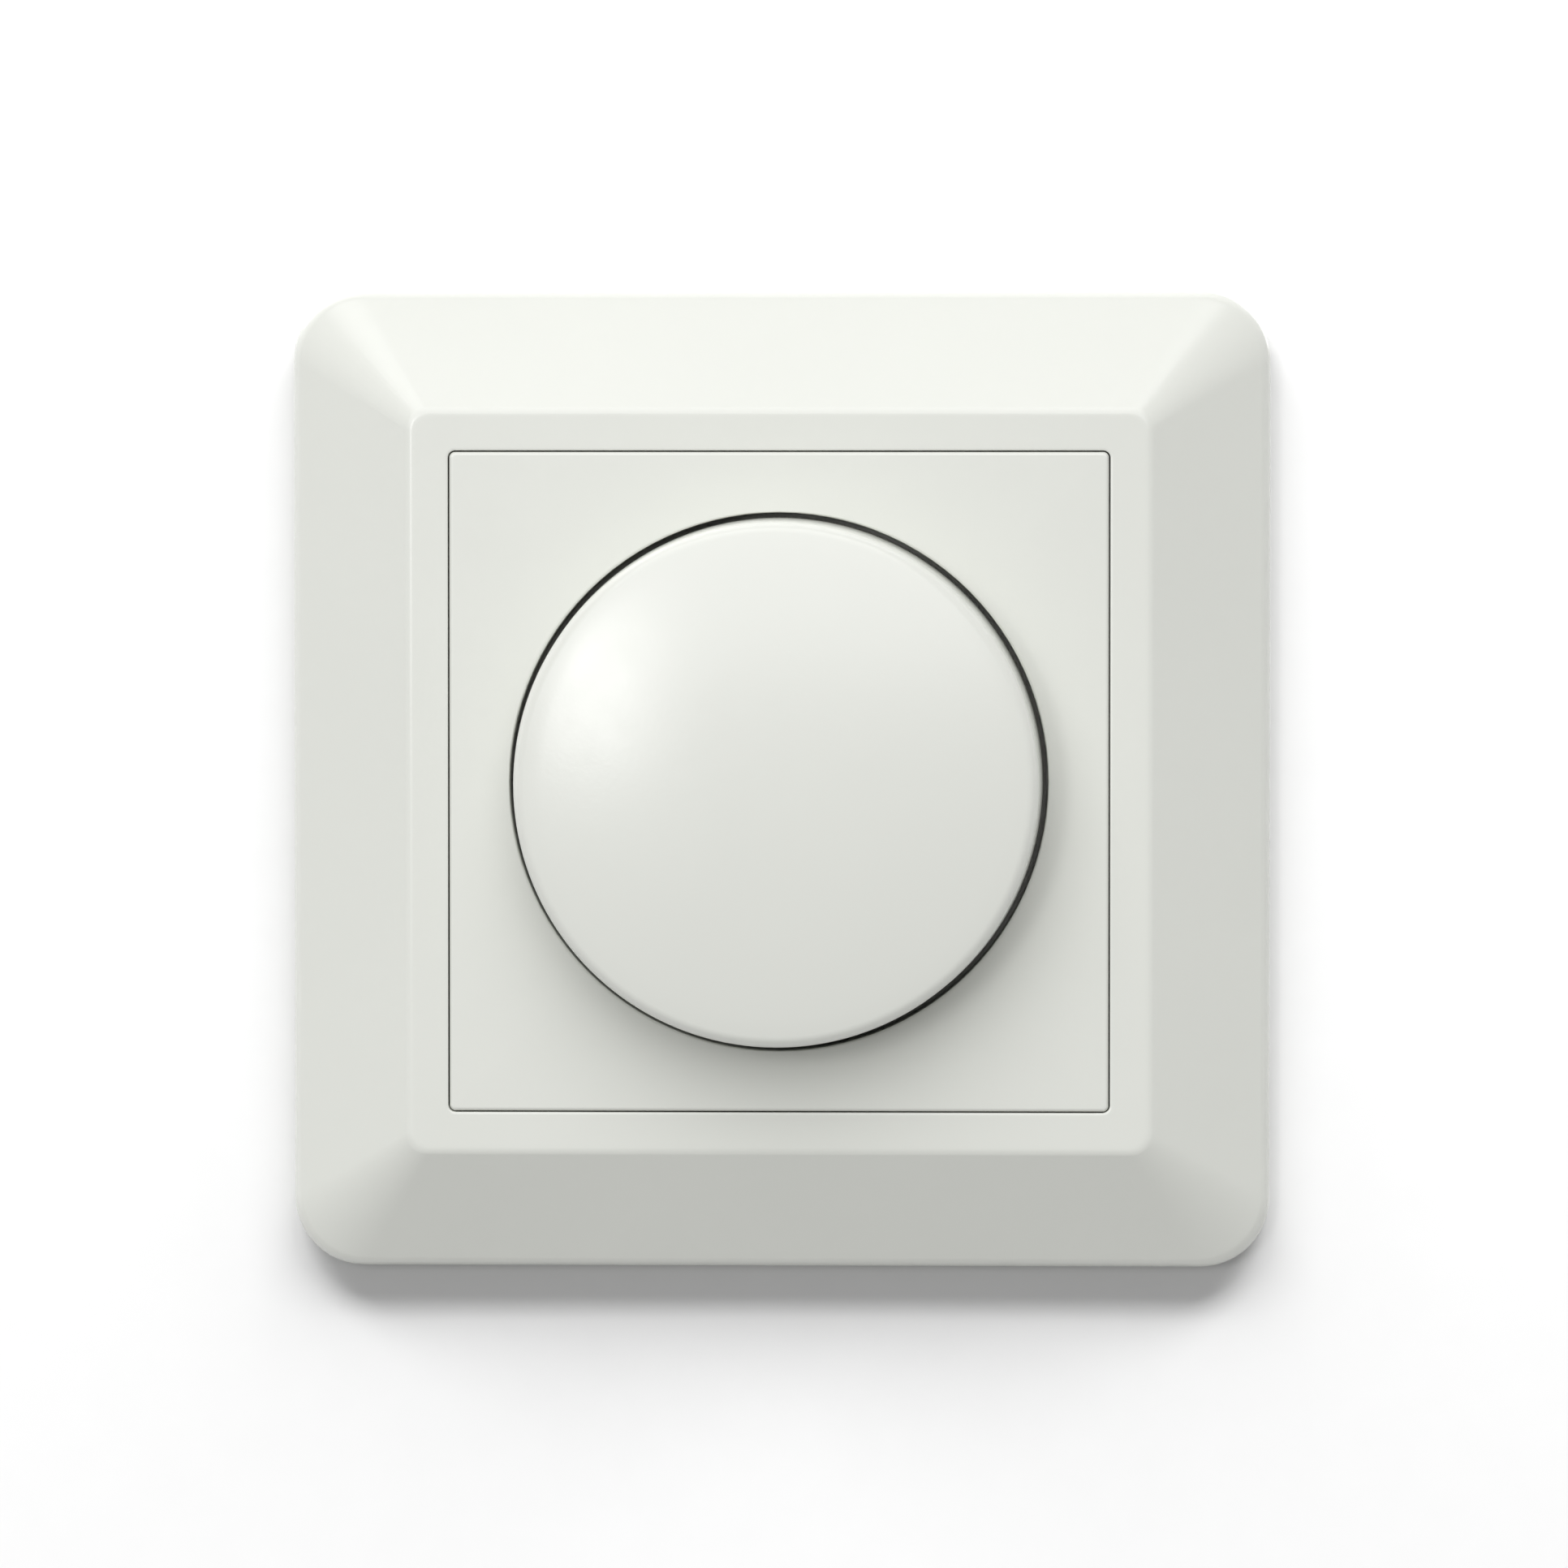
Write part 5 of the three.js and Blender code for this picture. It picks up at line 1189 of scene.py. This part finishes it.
for number in (1, 2, 3):
    terminal_x, _ = centre_of(f"terminal_screw_{number}")
    _, _, _, _, terminal_back, terminal_front = extent(f"terminal_screw_{number}")
    turn_solid(wire_mouth, 48)
    carve(pot, complete("wire_mouth", place=(terminal_x, 0, WIRE_PLACE)))
    driver_height = (terminal_back + terminal_front) / 2
    driver_place = (terminal_x, driver_height, -CASE_HALF - DRIVER_HOLE_OFFSET)
    carve(pot, upright_cutter(DRIVER_HOLE, DRIVER_HOLE_LENGTH, *driver_place, 48))
soften_edges(pot, CASE_SOFTNESS, angle=CASE_SOFT_ANGLE)
fit(pot, black_moulding, "root", "housing_base")

_, _, _, _, lip_low, lid_top = extent("housing_lid")
lid_under = lid_top - LID_THICKNESS
lip_inset = CASE_WALL + LIP_CLEARANCE
lid = case_block("case_lid", 0, lid_under, lid_top)
lip = case_block("lid_lip", lip_inset, lip_low, lid_under + LIP_SINK)
carve(lip, case_block("lip_room", lip_inset + LIP_WALL, lip_low - OVERCUT, lid_under + OVERCUT))
unite(lid, lip)
carve(lid, round_cutter(collar_radius + COLLAR_CLEARANCE, 0, 0, LID_UNDERCUT, OVERCUT, 64))
carve(lid, round_cutter(TRIMMER_HOLE, trimmer_x, trimmer_z, LID_UNDERCUT, OVERCUT))
for side in (-1, 1):
    post_place = (side * case_screw_x, case_screw_z)
    carve(lid, round_cutter(CASE_SCREW_HOLE, *post_place, LID_UNDERCUT, OVERCUT))
    carve(lid, round_cutter(LID_COUNTERBORE, *post_place, lip_low - OVERCUT, lid_under + COUNTERBORE_DEPTH))
soften_edges(lid, LID_SOFTNESS, angle=CASE_SOFT_ANGLE)
fit(lid, grey_moulding, "root", "housing_lid")


# ---- Spreading claws ----
# Each claw is bent from zinc-plated sheet and swings on a steel pin between the case's ears: the screw in
# its fork draws it out until its teeth bite in the wall box.

PIN_RADIUS = 0.6
PIN_CHAMFER = 0.12

for side in ("left", "right"):
    spreading_claw = finer_copy(f"claw_{side}", f"spreading_claw_{side}")
    fit(spreading_claw, zinc_steel, f"claw_{side}", f"claw_{side}")
    pin_x, _ = centre_of(f"claw_pin_{side}")
    _, _, pin_bottom, pin_top, _, _ = extent(f"claw_pin_{side}")
    begin(
        bpy.ops.mesh.primitive_cylinder_add, vertices=32, radius=PIN_RADIUS, depth=pin_top - pin_bottom,
        location=(pin_x, -PIN_HEIGHT, 0),
    )
    pick(lambda point: abs(point.z) > pin_top - NEAR)
    bpy.ops.mesh.bevel(offset=PIN_CHAMFER, segments=2, affect="EDGES")
    hinge_pin = complete(f"claw_hinge_pin_{side}")
    fit(hinge_pin, bright_steel, "root", f"claw_pin_{side}")


# ---- Return spring and winding ----
# The spring under the push switch's plunger is four turns of steel wire, squeezed as the knob goes in. The
# choke's copper winding lies in close turns round its ferrite bobbin.

COPPER = (0.55, 0.2, 0.07)
DULL_COPPER = (0.42, 0.13, 0.04)
SPRING_WIRE = 0.5
SPRING_TURNS = 4
WINDING_WIRE = 0.42
WINDING_DEPTH = 1.9
WINDING_MARGIN = 0.1
WINDING_START = 0.05
TURN_FILL = 0.48

_, spring_reach, _, _, spring_low, spring_high = extent("return_spring")
spring_pitch = (spring_high - spring_low - SPRING_WIRE) / SPRING_TURNS
coil(
    radius=spring_reach - SPRING_WIRE / 2, section=SPRING_WIRE / 2, sides=12,
    low=spring_low + SPRING_WIRE / 2, pitch=spring_pitch, turns=SPRING_TURNS, steps=40,
)
wound_spring = complete("wound_spring")
fit(wound_spring, bright_steel, "root", "return_spring")
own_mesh(wound_spring)

copper = metal("enamelled_copper", COPPER, DULL_COPPER, roughness=0.3)
winding_x, winding_z = centre_of("choke_winding")
winding_left, winding_right, _, _, winding_low, winding_high = extent("choke_winding")
winding_radius = (winding_right - winding_left) / 2
core_radius = winding_radius - WINDING_WIRE
winding_core = [
    (core_radius - WINDING_DEPTH, winding_low + WINDING_MARGIN),
    (core_radius, winding_low + WINDING_MARGIN),
    (core_radius, winding_high - WINDING_MARGIN),
    (core_radius - WINDING_DEPTH, winding_high - WINDING_MARGIN),
]
begin_bare()
turn_outline(winding_core + winding_core[:1], 64)
inner_turns = complete("inner_turns")
winding_turns = int((winding_high - winding_low - WINDING_WIRE) / WINDING_WIRE)
coil(
    radius=winding_radius - WINDING_WIRE / 2, section=WINDING_WIRE * TURN_FILL, sides=8,
    low=winding_low + WINDING_WIRE / 2 + WINDING_START, pitch=WINDING_WIRE, turns=winding_turns, steps=36,
)
winding = joined_to(complete("copper_winding"), inner_turns)
winding.location = (winding_x * MM, 0, winding_z * MM)
bpy.ops.object.transform_apply(location=True, rotation=True, scale=True)
fit(winding, copper, "root", "choke_winding")


# ---- Circuit, switch and terminals ----
# Behind the lid are the potentiometer, the push switch, the circuit board with its parts, the trimmer and
# the three brass wire clamps. Each is a bought-in part or a stamping with small rounded edges.

ALUMINIUM = (0.66, 0.67, 0.68)
DULL_ALUMINIUM = (0.55, 0.56, 0.57)
IVORY = (0.62, 0.57, 0.44)
PHENOLIC_BROWN = (0.15, 0.075, 0.03)
FERRITE_GREY = (0.035, 0.036, 0.04)
FILM_AMBER = (0.55, 0.36, 0.06)
CERAMIC_ORANGE = (0.42, 0.13, 0.03)
BLUE = (0.03, 0.08, 0.24)
RESISTOR_BLUE = (0.27, 0.4, 0.51)
RESISTOR_BANDS = [(0.3, (0.45, 0.2, 0.02)), (0.4, (0.02, 0.02, 0.02)), (0.5, (0.4, 0.02, 0.02))]
BAND_WIDTH = 0.05
LAST_BAND = 0.74

aluminium = metal("aluminium", ALUMINIUM, DULL_ALUMINIUM, roughness=0.38)
ivory_moulding = moulded_plastic("ivory_moulding", IVORY, roughness=0.4, peel_depth=0.000008, drift=0.04)
phenolic = moulded_plastic("phenolic_sheet", PHENOLIC_BROWN, roughness=0.5, peel_depth=0.00001, drift=0.2)
ferrite = moulded_plastic("pressed_ferrite", FERRITE_GREY, roughness=0.7, peel_depth=0.00003, drift=0.25)
film_case = moulded_plastic("film_case", FILM_AMBER, roughness=0.35, peel_depth=0.000006, drift=0.05)
ceramic_body = moulded_plastic("dipped_ceramic", CERAMIC_ORANGE, roughness=0.3, peel_depth=0.00002, drift=0.1)
blue_body = moulded_plastic("blue_body", BLUE, roughness=0.35, peel_depth=0.000006, drift=0.08)


def board_laminate():
    """Green lacquer over glass laminate, with the copper tracks showing paler and a little raised."""
    finish, tree, shader = new_finish("board_laminate")
    place = add_node(tree, "ShaderNodeTexCoord")
    flat = add_node(tree, "ShaderNodeMapping", {"Rotation": (math.pi / 2, 0, 0)})
    tracks = add_node(tree, "ShaderNodeTexBrick", {
        "Scale": 230.0, "Mortar Size": 0.06, "Mortar Smooth": 0.1, "Brick Width": 1.3, "Row Height": 0.55,
    })
    grain = place_group(tree, moulded_grain)
    lacquer = tinted(tree, grain.outputs["Tone"], (0.018, 0.11, 0.045), (0.026, 0.15, 0.06))
    shown = add_node(tree, "ShaderNodeMix", data_type="RGBA")
    shown.inputs["B"].default_value = (0.06, 0.24, 0.1, 1)
    tree.links.new(place.outputs["Object"], flat.inputs["Vector"])
    tree.links.new(flat.outputs["Vector"], tracks.inputs["Vector"])
    tree.links.new(tracks.outputs["Fac"], shown.inputs["Factor"])
    tree.links.new(lacquer, shown.inputs["A"])
    tree.links.new(shown.outputs["Result"], shader.inputs["Base Color"])
    tree.links.new(spread(tree, grain.outputs["Gloss"], 0.25, 0.4), shader.inputs["Roughness"])
    tree.links.new(raised(tree, tracks.outputs["Fac"], 0.00003), shader.inputs["Normal"])
    return finish


def banded_body():
    """The pale blue lacquer of a resistor with its coloured bands across it."""
    finish, tree, shader = new_finish("resistor_body")
    _, band_place = centre_of("resistor")
    _, _, body_bottom, body_top, _, _ = extent("resistor")
    length = (body_top - body_bottom) * MM
    place = add_node(tree, "ShaderNodeTexCoord")
    along = add_node(tree, "ShaderNodeSeparateXYZ")
    share = add_node(tree, "ShaderNodeMapRange", {
        "From Min": band_place * MM - length / 2, "From Max": band_place * MM + length / 2,
    })
    bands = add_node(tree, "ShaderNodeValToRGB")
    bands.color_ramp.interpolation = "CONSTANT"
    for element in bands.color_ramp.elements:
        element.color = (*RESISTOR_BLUE, 1)
    bands.color_ramp.elements[1].position = LAST_BAND
    for start, colour in RESISTOR_BANDS:
        band = bands.color_ramp.elements.new(start)
        band.color = (*colour, 1)
        gap = bands.color_ramp.elements.new(start + BAND_WIDTH)
        gap.color = (*RESISTOR_BLUE, 1)
    grain = place_group(tree, moulded_grain)
    tree.links.new(place.outputs["Object"], along.inputs["Vector"])
    tree.links.new(along.outputs["Z"], share.inputs["Value"])
    tree.links.new(share.outputs["Result"], bands.inputs["Fac"])
    tree.links.new(bands.outputs["Color"], shader.inputs["Base Color"])
    tree.links.new(spread(tree, grain.outputs["Gloss"], 0.3, 0.45), shader.inputs["Roughness"])
    tree.links.new(raised(tree, grain.outputs["Height"], 0.00001), shader.inputs["Normal"])
    return finish


def clear_glass():
    """Drawn glass tube with a faint drift in its clarity."""
    finish, tree, shader = new_finish("clear_glass")
    grain = place_group(tree, moulded_grain)
    clarity = tinted(tree, grain.outputs["Tone"], (0.86, 0.9, 0.89), (0.95, 0.97, 0.96))
    tree.links.new(clarity, shader.inputs["Base Color"])
    tree.links.new(spread(tree, grain.outputs["Gloss"], 0.02, 0.08), shader.inputs["Roughness"])
    shader.inputs["Transmission Weight"].default_value = 0.9
    shader.inputs["IOR"].default_value = 1.5
    return finish


inner_parts = [
    (board_laminate(), "board_laminate", 0.1, "root", ["circuit_board"]),
    (black_moulding, "black_plastic", 0.2, "root", ["pot_case", "switch_case", "triac"]),
    (phenolic, "phenolic", 0.05, "root", ["pot_track"]),
    (ivory_moulding, "ivory_plastic", 0.15, "rotor", ["pot_rotor"]),
    (brass, "brass", 0.06, "rotor", ["pot_wiper"]),
    (ivory_moulding, "ivory_plastic", 0.15, "plunger", ["switch_plunger"]),
    (ivory_moulding, "ivory_plastic", 0.12, "trimmer", ["trimmer_rotor"]),
    (blue_body, "blue_body", 0.2, "root", ["trimmer_base", "diac"]),
    (aluminium, "aluminium", 0.15, "root", ["heat_sink", "triac_rivet"]),
    (ferrite, "ferrite", 0.15, "root", ["choke_core"]),
    (film_case, "film_case", 0.25, "root", ["film_capacitor"]),
    (ceramic_body, "ceramic_body", 0.1, "root", ["small_capacitor"]),
    (banded_body(), "resistor_body", 0.1, "root", ["resistor"]),
    (clear_glass(), "glass", 0.1, "root", ["fuse_tube"]),
    (bright_steel, "bright_steel", 0.08, "root", ["fuse_cap_left", "fuse_cap_right"]),
    (brass, "brass", 0.08, "root", ["fuse_clip_left", "fuse_clip_right"]),
    (brass, "brass", 0.15, "root", ["terminal_cage_1", "terminal_cage_2", "terminal_cage_3"]),
    (brass, "brass", 0.1, "terminal_plate_1", ["terminal_plate_1"]),
    (brass, "brass", 0.1, "terminal_plate_2", ["terminal_plate_2"]),
    (brass, "brass", 0.1, "terminal_plate_3", ["terminal_plate_3"]),
]
for finish, slot, edge, body, nodes in inner_parts:
    for node in nodes:
        fit(finer_copy(node, f"{node}_part", edge), finish, body, node)
